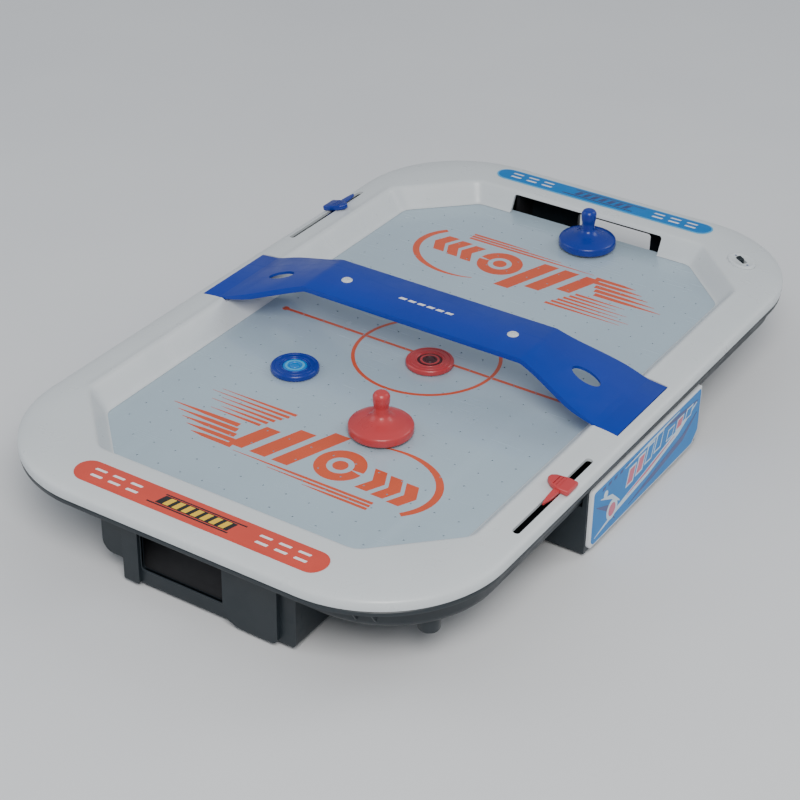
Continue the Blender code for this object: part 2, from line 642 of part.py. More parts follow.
def wire(name, route, radius, mat):
    """A wire as a round tube along a smooth line through its route's points."""
    curve = bpy.data.curves.new(name, "CURVE")
    curve.dimensions = "3D"
    curve.bevel_depth = radius * MM
    curve.bevel_resolution = 1
    curve.use_fill_caps = True
    points = [Vector(p) for p in route]
    ends = [points[0] * 2 - points[1]] + points + [points[-1] * 2 - points[-2]]
    line = []
    for a, b, c, d in zip(ends, ends[1:], ends[2:], ends[3:]):
        for i in range(4):
            t = i / 4
            line.append(0.5 * (2 * b + (c - a) * t + (2 * a - 5 * b + 4 * c - d) * t ** 2
                               + (3 * b - a - 3 * c + d) * t ** 3))
    line.append(points[-1])
    spline = curve.splines.new("POLY")
    spline.points.add(len(line) - 1)
    for point, at in zip(spline.points, line):
        point.co = (*(at * MM), 1.0)
    item = bpy.data.objects.new(name, curve)
    PARTS.objects.link(item)
    curve.materials.append(mat)


def screw(name, x, y, mat):
    profile = ((0.0, 73.4), (1.6, 72.6), (1.6, 61.7), (3.6, 61.7), (3.3, 59.9), (0.0, 59.6))
    turned(name, profile, (x, y, 0), mat, 12)


def foot(name, x, y, mat):
    profile = ((0.0, 2.7), (6.5, 2.7), (7.0, 1.0), (6.4, 0.0), (0.0, 0.0))
    turned(name, profile, (x, y, 0), mat, 16)


# ---------------------------------------------------------------- assembly

def build():
    white = material("rim_white", WHITE, 0.3)
    board = material("board_white", (0.5, 0.58, 0.64), 0.35)
    panel = material("panel_white", WHITE, 0.35)
    black = material("black_plastic", BLACK, 0.45)
    inner = material("inner_black", (0.012, 0.012, 0.014), 0.6)
    blue = material("bridge_blue", (0.01, 0.05, 0.35), 0.35)
    blue_toy = material("blue_plastic", (0.008, 0.03, 0.3), 0.3)
    red_toy = material("red_plastic", (0.55, 0.06, 0.06), 0.3)
    red_label = material("label_red", (0.7, 0.08, 0.04), 0.4)
    blue_label = material("label_blue", (0.01, 0.25, 0.62), 0.4)
    decal = material("side_decal", (0.05, 0.3, 0.6), 0.4)
    cyan = material("cyan_plastic", (0.02, 0.3, 0.6), 0.3)
    dark = material("dark_plastic", (0.03, 0.008, 0.01), 0.4)
    felt = material("felt", (0.05, 0.05, 0.055), 0.95)
    rubber = material("rubber", (0.02, 0.02, 0.02), 0.8)
    steel = material("steel", (0.5, 0.5, 0.5), 0.35, 1.0)
    cell = material("cell_wrap", (0.06, 0.1, 0.25), 0.4)
    sleeve = material("wire_sleeve", (0.3, 0.02, 0.02), 0.5)

    rim_frame(white)
    play_field(board)
    field_support(inner)
    air_tray(black)
    centre_box(black)
    for name, far in (("near", False), ("far", True)):
        end_leg("end_leg_" + name, far, black)
        goal_pocket("goal_pocket_" + name, far, inner)
    for name, side in (("right", 1), ("left", -1)):
        side_plate("side_panel_" + name, side, (196.3, 199.2), 0.0, panel)
        side_plate("side_decal_" + name, side, (199.5, 199.9), 2.5, decal)
    end_label("end_label_red", -1, red_label)
    end_label("end_label_blue", 1, blue_label)

    bridge(blue)
    bridge_cap("bridge_cap_right", 1, white)
    bridge_cap("bridge_cap_left", -1, white)
    score_slider("score_slider_red", 1, RED_SCORE_Y, red_toy)
    score_clip("score_clip_red", 1, RED_SCORE_Y, red_toy)
    score_slider("score_slider_blue", -1, BLUE_SCORE_Y, blue_toy)
    score_clip("score_clip_blue", -1, BLUE_SCORE_Y, blue_toy)

    mallet("red", MALLET_RED, red_toy, felt)
    mallet("blue", MALLET_BLUE, blue_toy, felt)
    puck("red", PUCK_RED, red_toy, dark)
    puck("blue", PUCK_BLUE, blue_toy, cyan)

    power_switch(white, black)
    fan(board, steel, black)
    battery_bay(inner, steel, cell)
    wire("switch_wire", ((160, 250, 66.0 + 2.0), (172, 234, 69), (183, 205, 69.5),
                         (185, 150, 69.5), (185, 90, 69.5), (185, 66, 69.2), (185, 60, 64),
                         (185, 58, 52), (182, 54, 38), (160, 48, 31), (110, 38, 27),
                         (62, 24, 15), (34, 12, 12), (14.5, 4, 12)), 1.2, sleeve)
    wire("cell_wire", ((-58.5, 2, 15), (-48, 2, 13), (-30, 1, 12), (-14.5, 0, 12)),
         1.2, sleeve)
    for i, (x, y) in enumerate(SCREW_SPOTS):
        screw(f"tray_screw_{i + 1}", x, y, steel)
    foot_spots = ((-48, -266), (68, -266), (48, 266), (-68, 266), (184, 0), (-184, 0))
    for i, (x, y) in enumerate(foot_spots):
        foot(f"foot_{i + 1}", x, y, rubber)


clear_scene()
PARTS = make_collection(COLLECTION_NAME)
CUTTERS = make_collection("cutters")
build()
for made in PARTS.objects:
    if made.type == "MESH" and made.name.startswith(("mallet", "puck", "cell", "fan")):
        smooth(made)
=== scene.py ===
"""Looks of the tabletop air hockey table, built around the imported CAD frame.

Shapes are worked out in millimetres in the frame's own axes (long axis Y, red player
at -Y, +Z up, floor at 0) and scaled to metres when a mesh is made.
"""
import bisect
import math

import bmesh
import bpy
from mathutils import Matrix, Quaternion, Vector, noise


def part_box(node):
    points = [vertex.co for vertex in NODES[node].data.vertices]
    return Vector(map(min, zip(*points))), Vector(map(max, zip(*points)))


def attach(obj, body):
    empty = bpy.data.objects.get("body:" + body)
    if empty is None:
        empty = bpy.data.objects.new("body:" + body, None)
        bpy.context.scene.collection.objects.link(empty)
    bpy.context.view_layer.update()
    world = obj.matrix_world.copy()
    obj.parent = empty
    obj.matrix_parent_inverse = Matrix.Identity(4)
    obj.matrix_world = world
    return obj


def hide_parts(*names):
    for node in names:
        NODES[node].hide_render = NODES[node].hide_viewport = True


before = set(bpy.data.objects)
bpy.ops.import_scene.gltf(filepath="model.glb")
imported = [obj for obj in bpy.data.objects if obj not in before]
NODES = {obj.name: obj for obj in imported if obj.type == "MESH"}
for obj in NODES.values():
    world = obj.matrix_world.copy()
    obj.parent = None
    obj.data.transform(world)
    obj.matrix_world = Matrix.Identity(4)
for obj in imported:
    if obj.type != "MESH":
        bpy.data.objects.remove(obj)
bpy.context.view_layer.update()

MM = 0.001
TABLE = "table"
LOOKS = {}              # materials by short name, filled by build()

# Sizes shared with the frame, in millimetres
HALF_X, HALF_Y, CORNER_R = 200, 320, 102
LIP_BOTTOM, CREST_Z, FIELD_Z = 66.6, 79.5, 61
WALL_TOP = (170, 268, 58)
WALL_FOOT = (156, 259, 50.6)
BOARD = (162, 265, 54)
TRAY_X, TRAY_Y, TRAY_R, TRAY_BOTTOM = 192, 303, 84, 43.5
FLANGE_TOP, FLANGE_BOTTOM, FLANGE_INSET = 66.3, 62, 0.6
GOAL_HALF, GOAL_TOP = 74, 76.5
LEG_X, LEG_Y0, LEG_Y1, LEG_NECK_Y, LEG_TOP = 85, 232, 300, 268.6, 63.4
MOUTH = (-49, 24.5, 16, 58)
SLOT_X, SLOT_W, SLOT_Y0, SLOT_Y1 = 190, 5.6, 80, 190
KNOB_Z, KNOB_LEAN = 77.9, math.radians(11)
SEAT_HALF = 41.8
SEAT_FLOOR = ((172, 76.6), (191.6, 74.6))
BRIDGE_TOP_Z, BRIDGE_T, BRIDGE_CAP_X, BRIDGE_HOLE_X = 106, 2.6, 77, 142
BRIDGE_UNDER_Z, BRIDGE_HALF, BRIDGE_FLARE = BRIDGE_TOP_Z - BRIDGE_T, 28, 13
SWITCH_AT, SWITCH_TURN = (153, 258), math.radians(-35)
SCREW_SPOTS = ((118, 311), (-118, 311), (118, -311), (-118, -311))
HOLE_PITCH, HOLE_R, HOLE_DEPTH = 20, 0.8, 2.4
MALLET_R, MALLET_H, MALLET_LOW = 25, 34.5, 62.8
PUCK_R, PUCK_H, LOOSE_LOW = 19.25, 5, 61.3
LABEL_Y, LABEL_HALF, LABEL_R = 295, 108, 11.5
INK_LOW, INK_HIGH = FIELD_Z - 0.02, FIELD_Z + 0.08
CENTRE_R, CENTRE_LINE, CENTRE_END = 59, 3, 137
CREST = ((0, 72.6), (0.25, 73.5), (0.8, 74.3), (1.8, 75), (3.2, 75.7), (5, 76.4), (8, 77.1),
         (12, 77.8), (17, 78.5), (22, 79), (27, 79.3), (34, 79.5))

# Camera and light
CAMERA_AZIMUTH, CAMERA_ELEVATION = math.radians(32.4), math.radians(31.9)
CAMERA_ROLL = math.radians(1)
CAMERA_DISTANCE, CAMERA_AIM, LENS = 1.533, Vector((0.0172, -0.0659, 0.0597)), 89.6


# ---- materials

FINE_GRAIN = 1400     # cycles per metre


class Shader:
    """A Principled material whose colour, roughness and bump come from procedural nodes."""

    def __init__(self, name, roughness=0.4, metallic=0, coat=0, sheen=0, specular=0.5):
        self.material = bpy.data.materials.new(name)
        self.material.use_nodes = True
        self.tree = self.material.node_tree
        self.shader = self.tree.nodes["Principled BSDF"]
        self.put("Roughness", roughness)
        self.put("Metallic", metallic)
        self.put("Coat Weight", coat)
        self.put("Coat Roughness", 0.08)
        self.put("Sheen Weight", sheen)
        self.put("Specular IOR Level", specular)
        self.place = self.node("ShaderNodeTexCoord").outputs["Object"]

    def put(self, socket, value):
        self.shader.inputs[socket].default_value = value

    def node(self, kind, **settings):
        made = self.tree.nodes.new(kind)
        for key, value in settings.items():
            setattr(made, key, value)
        return made

    def link(self, source, target):
        self.tree.links.new(source, target)

    def noise(self, scale, detail=3, roughness=0.55, stretch=None):
        """Noise over the piece's own coordinates; scale is in cycles per metre."""
        place = self.place
        if stretch:
            mapping = self.node("ShaderNodeMapping")
            mapping.inputs["Scale"].default_value = stretch
            self.link(place, mapping.inputs["Vector"])
            place = mapping.outputs["Vector"]
        made = self.node("ShaderNodeTexNoise")
        made.inputs["Scale"].default_value = scale
        made.inputs["Detail"].default_value = detail
        made.inputs["Roughness"].default_value = roughness
        self.link(place, made.inputs["Vector"])
        return made.outputs["Fac"]

    def remap(self, value, low, high, to_low, to_high):
        made = self.node("ShaderNodeMapRange")
        for socket, number in zip(("From Min", "From Max", "To Min", "To Max"),
                                  (low, high, to_low, to_high)):
            made.inputs[socket].default_value = number
        self.link(value, made.inputs["Value"])
        return made.outputs["Result"]

    def mix(self, factor, first, second):
        made = self.node("ShaderNodeMix", data_type="RGBA")
        self.link(factor, made.inputs["Factor"])
        for socket, value in ((6, first), (7, second)):
            if isinstance(value, tuple):
                made.inputs[socket].default_value = (*value, 1)
            else:
                self.link(value, made.inputs[socket])
        return made.outputs[2]

    def colour(self, value):
        self.link(value, self.shader.inputs["Base Color"])

    def bump(self, *layers):
        """Stack bumps; each layer is (height, depth in metres)."""
        normal = None
        for height, depth in layers:
            made = self.node("ShaderNodeBump")
            made.inputs["Distance"].default_value = depth
            made.inputs["Strength"].default_value = 1
            self.link(height, made.inputs["Height"])
            if normal:
                self.link(normal, made.inputs["Normal"])
            normal = made.outputs["Normal"]
        self.link(normal, self.shader.inputs["Normal"])


def shade(colour, factor):
    return tuple(min(1, c * factor) for c in colour)


def plastic(name, colour, roughness=0.35, grain=0.00003, wave=0.00006, variation=0.05, coat=0,
            specular=0.5):
    """Moulded plastic: faint flow marks, a fine grain, a painted highlight that lightens convex
    edges, and hairline scratches.
    """
    made = Shader(name, roughness, coat=coat, specular=specular)
    flow = made.remap(made.noise(14, 4), 0.3, 0.7, 0, 1)
    base = made.mix(flow, shade(colour, 1 - variation), shade(colour, 1 + variation))
    # Painted highlight: convex edges, found by pointiness, are mixed towards a lighter copy of
    # the colour.
    edges = made.node("ShaderNodeNewGeometry").outputs["Pointiness"]
    edge_highlight = made.remap(edges, 0.52, 0.62, 0, 0.5)
    made.colour(made.mix(edge_highlight, base, shade(colour, 1 + 3 * variation)))
    hairline = made.remap(made.noise(220, 2, stretch=(0.06, 1, 0.3)), 0.6, 0.72, 0, 1)
    smudge = made.remap(made.noise(45, 5), 0.35, 0.7, roughness * 0.85, roughness * 1.25)
    rough = made.node("ShaderNodeMath", operation="MULTIPLY_ADD")
    made.link(hairline, rough.inputs[0])
    rough.inputs[1].default_value = 0.08
    made.link(smudge, rough.inputs[2])
    made.link(rough.outputs[0], made.shader.inputs["Roughness"])
    made.bump((made.noise(30, 2), wave * 4), (made.noise(FINE_GRAIN, 2), grain))
    return made.material


def film(name, colour, roughness=0.3, coat=0.3):
    """Printed film or ink: a fine halftone of the ink over a slightly uneven tone."""
    made = Shader(name, roughness, coat=coat)
    dots = made.node("ShaderNodeTexVoronoi")
    dots.inputs["Scale"].default_value = 900
    made.link(made.place, dots.inputs["Vector"])
    tone = made.remap(dots.outputs["Distance"], 0.1, 0.6, 0, 1)
    patch = made.remap(made.noise(25, 3), 0.35, 0.7, 0, 1)
    light = made.mix(patch, shade(colour, 1.05), shade(colour, 0.93))
    made.colour(made.mix(tone, shade(colour, 0.94), light))
    made.bump((made.noise(700, 2), 0.00002))
    return made.material


def felt(name, colour):
    """Felt: a soft sheen over fine fibres."""
    made = Shader(name, 0.95, sheen=0.6)
    fibres = made.noise(2600, 4, 0.7)
    made.colour(made.mix(made.remap(fibres, 0.3, 0.7, 0, 1), shade(colour, 0.6),
                         shade(colour, 1.5)))
    made.bump((fibres, 0.0004))
    return made.material


def rubber(name, colour):
    """Matt rubber with a little dust on it."""
    made = Shader(name, 0.75, specular=0.3)
    dust = made.remap(made.noise(160, 5), 0.45, 0.75, 0, 1)
    made.colour(made.mix(dust, colour, shade(colour, 2.2)))
    made.bump((made.noise(1800, 3), 0.00008))
    return made.material


def metal(name, colour):
    """Brushed metal, its lines running along Z."""
    roughness = 0.3
    made = Shader(name, roughness, metallic=1)
    lines = made.noise(500, 3, stretch=(1, 1, 14))
    made.colour(made.mix(lines, shade(colour, 0.8), shade(colour, 1.1)))
    made.link(made.remap(lines, 0.3, 0.7, roughness * 0.7, roughness * 1.5),
              made.shader.inputs["Roughness"])
    made.bump((lines, 0.00003))
    return made.material


def cell_wrap(name):
    """A printed battery sleeve: dark body with a copper band near one end."""
    made = Shader(name, 0.3, metallic=0.6, coat=0.4)
    split = made.node("ShaderNodeSeparateXYZ")
    made.link(made.place, split.inputs["Vector"])
    band = made.node("ShaderNodeMath", operation="PINGPONG")
    made.link(split.outputs["X"], band.inputs[0])
    band.inputs[1].default_value = 0.02525
    edge = made.remap(band.outputs[0], 0.0165, 0.0168, 0, 1)
    scuff = made.remap(made.noise(300, 4), 0.5, 0.7, 0, 1)
    body = made.mix(scuff, (0.03, 0.04, 0.06), (0.06, 0.07, 0.09))
    made.colour(made.mix(edge, body, (0.55, 0.25, 0.09)))
    made.bump((made.noise(90, 2), 0.00005))
    return made.material


# ---- outlines

def rounded(points, radius, closed=True, steps=5):
    """A polyline with its corners rounded; radius is one number or one per corner."""
    points = [Vector(p) for p in points]
    count = len(points)
    out = []
    for i, corner in enumerate(points):
        r = radius[i] if isinstance(radius, (list, tuple)) else radius
        if r <= 0 or (not closed and i in (0, count - 1)):
            out.append(corner)
            continue
        before, after = points[i - 1] - corner, points[(i + 1) % count] - corner
        half = before.angle(after) / 2
        if half > math.pi / 2 - 0.01:
            out.append(corner)
            continue
        trim = min(r / math.tan(half), before.length * 0.49, after.length * 0.49)
        r = trim * math.tan(half)
        u, v = before.normalized(), after.normalized()
        centre = corner + (u + v).normalized() * (r / math.sin(half))
        start = corner + u * trim - centre
        turn = math.pi - 2 * half
        if u.cross(v) > 0:
            turn = -turn
        for k in range(steps + 1):
            a = turn * k / steps
            out.append(centre + Vector((start.x * math.cos(a) - start.y * math.sin(a),
                                        start.x * math.sin(a) + start.y * math.cos(a))))
    return out


def rectangle(x0, x1, y0, y1):
    return [(x0, y0), (x1, y0), (x1, y1), (x0, y1)]


def octagon(half_x, half_y, corner):
    x, y = half_x - corner, half_y - corner
    return [(half_x, -y), (half_x, y), (x, half_y), (-x, half_y), (-half_x, y), (-half_x, -y),
            (-x, -half_y), (x, -half_y)]


def grown(shape, d):
    """An octagon's sizes with all sides moved out by d."""
    return shape[0] + d, shape[1] + d, shape[2] + d * (2 - math.sqrt(2))


class Outline:
    """A closed outline round the middle, read along directions from it."""

    def __init__(self, points):
        pairs = sorted((math.atan2(p[1], p[0]) % math.tau, p[0], p[1]) for p in points)
        self.angles = [p[0] for p in pairs]
        self.points = [Vector(p[1:]) for p in pairs]

    def at(self, angle):
        angle %= math.tau
        after = bisect.bisect_right(self.angles, angle)
        p = self.points[(after - 1) % len(self.points)]
        q = self.points[after % len(self.points)]
        ray = Vector((math.cos(angle), math.sin(angle)))
        edge = q - p
        across = ray.cross(edge)
        if abs(across) < 1e-9:
            return p.copy()
        return ray * (p.cross(edge) / across)


def round_outline(half_x, half_y, radius):
    corners = rectangle(-half_x, half_x, -half_y, half_y)
    return Outline(rounded(corners, radius, steps=40))


def octagon_outline(shape, radius):
    return Outline(rounded(octagon(*shape), radius, steps=8))


def directions(half_x, half_y, radius, step):
    """Directions to points a step apart along a rounded rectangle."""
    ring = rounded(rectangle(-half_x, half_x, -half_y, half_y), radius, steps=40)
    out = []
    for p, q in zip(ring, ring[1:] + ring[:1]):
        pieces = max(1, round((q - p).length / step))
        for k in range(pieces):
            at = p.lerp(q, k / pieces)
            out.append(math.atan2(at.y, at.x) % math.tau)
    return sorted(out)


def crest_height(inset):
    for (d0, z0), (d1, z1) in zip(CREST, CREST[1:]):
        if inset <= d1:
            return z0 + (z1 - z0) * max(0, inset - d0) / (d1 - d0)
    return CREST_Z


# ---- meshes

def piece(name, shape, material, body=TABLE, replaces=(), smooth=35):
    """Make a shown piece from millimetre geometry and hang it on a CAD body."""
    dress(loose(name, shape), material, body, replaces, smooth)


def loose(name, shape):
    bmesh.ops.recalc_face_normals(shape, faces=shape.faces)
    bmesh.ops.scale(shape, verts=shape.verts, vec=(MM, MM, MM))
    mesh = bpy.data.meshes.new(name)
    shape.to_mesh(mesh)
    shape.free()
    item = bpy.data.objects.new(name, mesh)
    bpy.context.scene.collection.objects.link(item)
    return item


def dress(item, material, body=TABLE, replaces=(), smooth=35):
    item.data.materials.clear()
    item.data.materials.append(LOOKS[material])
    item.data.shade_smooth()
    item.data.set_sharp_from_angle(angle=math.radians(smooth))
    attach(item, body)
    if replaces:
        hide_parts(*([replaces] if isinstance(replaces, str) else replaces))


def boolean(item, shape, operation, crossing=False):
    """Cut a shape from an item, or join it; crossing is for items that cross themselves."""
    tool = loose("tool", shape)
    step = item.modifiers.new("boolean", "BOOLEAN")
    step.operation = operation
    step.solver = "EXACT"
    step.use_self = crossing
    step.object = tool
    bake(item)
    old = tool.data
    bpy.data.objects.remove(tool)
    bpy.data.meshes.remove(old)


def cut(item, *shapes):
    for shape in shapes:
        boolean(item, shape, "DIFFERENCE")


def join(item, *shapes):
    for shape in shapes:
        boolean(item, shape, "UNION")


def bake(item):
    """Make what an item's modifiers give its mesh."""
    depsgraph = bpy.context.evaluated_depsgraph_get()
    made = bpy.data.meshes.new_from_object(item.evaluated_get(depsgraph))
    old = item.data
    item.modifiers.clear()
    item.data = made
    bpy.data.meshes.remove(old)


def soften(item, width, segments=3):
    """Round the sharp edges of a finished piece."""
    step = item.modifiers.new("edges", "BEVEL")
    step.width = width * MM
    step.segments = segments
    step.limit_method = "ANGLE"
    step.angle_limit = math.radians(30)
    step.harden_normals = False


def clean_and_soften(item, width):
    """Merge the flat triangles of a CAD node, then round its edges."""
    flat = item.modifiers.new("flat", "DECIMATE")
    flat.decimate_type = "DISSOLVE"
    flat.angle_limit = math.radians(1)
    soften(item, width)
    item.data.shade_smooth()
    weighted = item.modifiers.new("normals", "WEIGHTED_NORMAL")
    weighted.keep_sharp = True


def carry(names, material, width=0):
    """Show CAD nodes as they are, with a material and edges rounded by width."""
    for name in names:
        node = NODES[name]
        node.data.materials.clear()
        node.data.materials.append(LOOKS[material])
        if width:
            clean_and_soften(node, width)


def merge(*shapes):
    """Put several shapes in one."""
    whole = shapes[0]
    for other in shapes[1:]:
        mesh = bpy.data.meshes.new("merge")
        other.to_mesh(mesh)
        other.free()
        whole.from_mesh(mesh)
        bpy.data.meshes.remove(mesh)
    return whole


def half_turned(shape):
    bmesh.ops.rotate(shape, verts=shape.verts, matrix=Matrix.Rotation(math.pi, 3, "Z"))
    return shape


def moved(shape, x=0, y=0, z=0, turn=None):
    if turn is not None:
        bmesh.ops.rotate(shape, verts=shape.verts, matrix=turn)
    bmesh.ops.translate(shape, verts=shape.verts, vec=(x, y, z))
    return shape


def slab(outline, z0, z1, edge=0):
    """Extrude a flat outline between two heights, with its rims rounded by edge."""
    if not edge:
        return skin([[(p[0], p[1], z) for p in outline] for z in (z0, z1)])
    rings = []
    quarter = [math.pi / 2 * k / 3 for k in range(4)]
    for a in quarter:
        rings.append((edge * (1 - math.sin(a)), z0 + edge * (1 - math.cos(a))))
    for a in reversed(quarter):
        rings.append((edge * (1 - math.sin(a)), z1 - edge * (1 - math.cos(a))))
    return skin([[(*p, z) for p in shrunk(outline, d)] for d, z in rings])


def shrunk(outline, d):
    """An anticlockwise outline moved in by d."""
    points = [Vector(p[:2]) for p in outline]
    out = []
    for i, p in enumerate(points):
        u = (p - points[i - 1]).normalized()
        v = (points[(i + 1) % len(points)] - p).normalized()
        if u.length < 0.5:
            u = v
        if v.length < 0.5:
            v = u
        across = Vector((-(u.y + v.y), u.x + v.x))
        across.normalize()
        share = max(0.5, across.dot(Vector((-u.y, u.x))))
        out.append(tuple(p + across * (d / share)))
    return out


def skin(loops, ring=False):
    """Skin a list of equal loops; open ends are capped."""
    shape = bmesh.new()
    made = [[shape.verts.new(p) for p in loop] for loop in loops]
    pairs = list(zip(made, made[1:]))
    if ring:
        pairs.append((made[-1], made[0]))
    for first, second in pairs:
        for i in range(len(first)):
            j = (i + 1) % len(first)
            shape.faces.new((first[i], first[j], second[j], second[i]))
    if not ring:
        shape.faces.new(list(reversed(made[0])))
        shape.faces.new(made[-1])
    return shape


def lathe(profile, sides=64, closed=False):
    """Turn a profile of (radius, z) about Z; ends on the axis close to a point."""
    shape = bmesh.new()
    rings = []
    for r, z in profile:
        if r < 1e-6:
            rings.append([shape.verts.new((0, 0, z))])
        else:
            rings.append([shape.verts.new((r * math.cos(math.tau * i / sides),
                                           r * math.sin(math.tau * i / sides), z))
                          for i in range(sides)])
    pairs = list(zip(rings, rings[1:]))
    if closed:
        pairs.append((rings[-1], rings[0]))
    for first, second in pairs:
        for i in range(sides):
            j = (i + 1) % sides
            if len(first) == 1 and len(second) == 1:
                continue
            if len(first) == 1:
                shape.faces.new((first[0], second[i], second[j]))
            elif len(second) == 1:
                shape.faces.new((first[i], second[0], first[j]))
            else:
                shape.faces.new((first[i], second[i], second[j], first[j]))
    return shape


def oval_hole(radius_x, radius_y, z0, z1):
    hole = lathe([(0, z0), (1, z0), (1, z1), (0, z1)], 48)
    bmesh.ops.scale(hole, verts=hole.verts, vec=(radius_x, radius_y, 1))
    return hole


def oval_loop(radius_x, radius_y, z):
    return [(radius_x * math.cos(a), radius_y * math.sin(a), z)
            for a in (math.tau * i / 64 for i in range(64))]


def box_shape(x0, x1, y0, y1, z0, z1):
    return slab(rectangle(min(x0, x1), max(x0, x1), min(y0, y1), max(y0, y1)), z0, z1)


def along_y(points, y0, y1):
    """Extrude an outline of (x, z) along Y."""
    return skin([[(p[0], y, p[1]) for p in points] for y in (y0, y1)])


def along_x(points, x0, x1):
    """Extrude an outline of (y, z) along X."""
    return skin([[(x, p[0], p[1]) for p in points] for x in (x0, x1)])


def ribbon(points, widths, z0, z1):
    """A flat band of varying width along a line, as a thin solid."""
    points = [Vector(p) for p in points]
    left, right = [], []
    for i, p in enumerate(points):
        along = (points[min(i + 1, len(points) - 1)] - points[max(i - 1, 0)]).normalized()
        across = Vector((-along.y, along.x)) * (widths[i] / 2)
        left.append(p + across)
        right.append(p - across)
    return skin([[(*a, z1), (*b, z1), (*b, z0), (*a, z0)] for a, b in zip(left, right)])


def arc(cx, cy, radius_x, radius_y, start, end, count=24):
    return [(cx + radius_x * math.cos(math.radians(start + (end - start) * i / count)),
             cy + radius_y * math.sin(math.radians(start + (end - start) * i / count)))
            for i in range(count + 1)]


def slanted(x, y, width, height, lean):
    """A leaning bar; x, y is its lower left corner."""
    return [(x, y), (x + width, y), (x + width + lean, y + height), (x + lean, y + height)]


# ---- rim and board

def build_rim():
    turns = directions(HALF_X, HALF_Y, CORNER_R, 3)

    def inset(d, z):
        return round_outline(HALF_X - d, HALF_Y - d, CORNER_R - d), z

    def wall(z, out=0):
        t = (CREST_Z - z) / (CREST_Z - FIELD_Z - 0.3)
        size = [a + (b - a) * t for a, b in zip(WALL_TOP, WALL_FOOT)]
        return octagon_outline(grown(size, out), 16 - 5 * t), z

    levels = [inset(1.2, LIP_BOTTOM), inset(0.3, LIP_BOTTOM + 0.25), inset(0, LIP_BOTTOM + 1)]
    levels += [inset(d, z) for d, z in CREST if d < 30]
    levels += [wall(CREST_Z, 2.6), wall(CREST_Z - 0.12, 1.5), wall(CREST_Z - 0.5, 0.6)]
    levels += [wall(CREST_Z - 1.2, 0.15), wall(CREST_Z - 2.2)]
    levels += [wall(CREST_Z - d) for d in (5, 8, 11, 14)]
    levels += [wall(FIELD_Z + 1.8), wall(FIELD_Z + 0.9, -0.25), wall(FIELD_Z + 0.3, -0.9)]
    levels += [wall(FIELD_Z + 0.3, 3), wall(CREST_Z - 2.5, 2.7)]
    levels += [inset(22, 76.5), inset(12, 75.4), inset(5, 74), inset(2.5, 72.6),
               inset(2.5, LIP_BOTTOM)]
    loops = []
    for outline, z in levels:
        loops.append([(*outline.at(a), z) for a in turns])
    item = loose("rim", skin(loops, ring=True))
    (sx0, sz0), (sx1, sz1) = SEAT_FLOOR
    for side in (1, -1):
        floor = ((169.5, 77), (194.6, 74.4), (194.6, 72), (169.5, 74.2))
        join(item, along_y([(side * x, z) for x, z in floor], -44.3, 44.3))
        seat = [(150, sz0), (sx0, sz0), (sx1, sz1), (sx1, 90), (150, 90)]
        cut(item, along_y([(side * x, z) for x, z in seat], -SEAT_HALF, SEAT_HALF))
        slot = rounded(rectangle(side * SLOT_X - SLOT_W / 2, side * SLOT_X + SLOT_W / 2,
                                 *sorted((-side * SLOT_Y0, -side * SLOT_Y1))), 2.7)
        cut(item, slab(slot, 60, 90))
        goal = rounded([(-GOAL_HALF, 50), (GOAL_HALF, 50), (GOAL_HALF, GOAL_TOP),
                        (-GOAL_HALF, GOAL_TOP)], 2.5)
        cut(item, along_y(goal, *sorted((side * 250, side * 276))))
    hole = oval_hole(13.4, 8.4, 70, 90)
    cut(item, moved(hole, *SWITCH_AT, 0, Matrix.Rotation(SWITCH_TURN, 3, "Z")))
    dress(item, "white", replaces="rim_frame", smooth=38)


def air_holes():
    """The pattern of air holes as one cutter."""
    shape = bmesh.new()
    for row in range(-12, 13):
        for column in range(-7, 8):
            x, y = column * HOLE_PITCH, row * HOLE_PITCH
            if abs(x) + abs(y) > 352:
                continue
            at = Matrix.Translation((x, y, FIELD_Z))
            bmesh.ops.create_cone(shape, cap_ends=True, segments=10, radius1=HOLE_R,
                                  radius2=HOLE_R, depth=2 * HOLE_DEPTH, matrix=at)
    return shape


def build_board():
    item = loose("board", slab(octagon(*BOARD), FIELD_Z - 3.3, FIELD_Z))
    cut(item, air_holes())
    dress(item, "board", replaces="play_field")


def disc_points(x, y, radius, count=40):
    return [(x + radius * math.cos(math.tau * i / count),
             y + radius * math.sin(math.tau * i / count)) for i in range(count)]


def field_mark():
    """A generic speed mark: streaks, leaning bars, a disc, chevrons and an arc."""
    z = (INK_LOW, INK_HIGH)
    shapes = []
    for i in range(6):
        y = -131 - i * 5.2
        start = -104 + i * 3.5 - (i % 2) * 9
        line = [(start, y), (-60 - i * 1.5, y), (-34 - i * 3, y)]
        shapes.append(ribbon(line, [0.3, 2.4, 3.2], *z))
    for i in range(5):
        y = -166 - i * 6.4
        line = [(-124 + i * 9, y), (-92 + i * 4, y), (-62 + i * 3, y)]
        shapes.append(ribbon(line, [0.4, 3.9, 5], *z))
    for x, width, height in ((-55, 13, 34), (-35, 14, 45), (-15, 14, 56)):
        shapes.append(slab(slanted(x, -190, width, height, height * 0.34), *z))
    ring = arc(31.5, -168, 15.2, 15.2, 0, 360, 48)
    shapes.append(ribbon(ring[:-1], [9.5] * 48, *z))
    shapes.append(slab(disc_points(31.5, -168, 6), *z))
    for i in range(3):
        x, y = 55 + i * 14.5, -171 - i * 1.5
        arrow = [(x, y - 14), (x + 10.5, y - 14), (x + 17, y), (x + 10.5, y + 14), (x, y + 14),
                 (x + 6.5, y)]
        shapes.append(slab(arrow, *z))
    sweep = arc(62, -170, 50, 42, 118, -38, 30)
    widths = [0.6 + 5.4 * math.sin(math.pi * min(1, i / 40)) for i in range(31)]
    shapes.append(ribbon(sweep, widths, *z))
    for i in range(3):
        y = -195.5 - i * 4
        line = [(-46 + i * 34, y), (10 + i * 18, y), (78, y)]
        shapes.append(ribbon(line, [0.4, 2.4, 2.8], *z))
    return merge(*shapes)


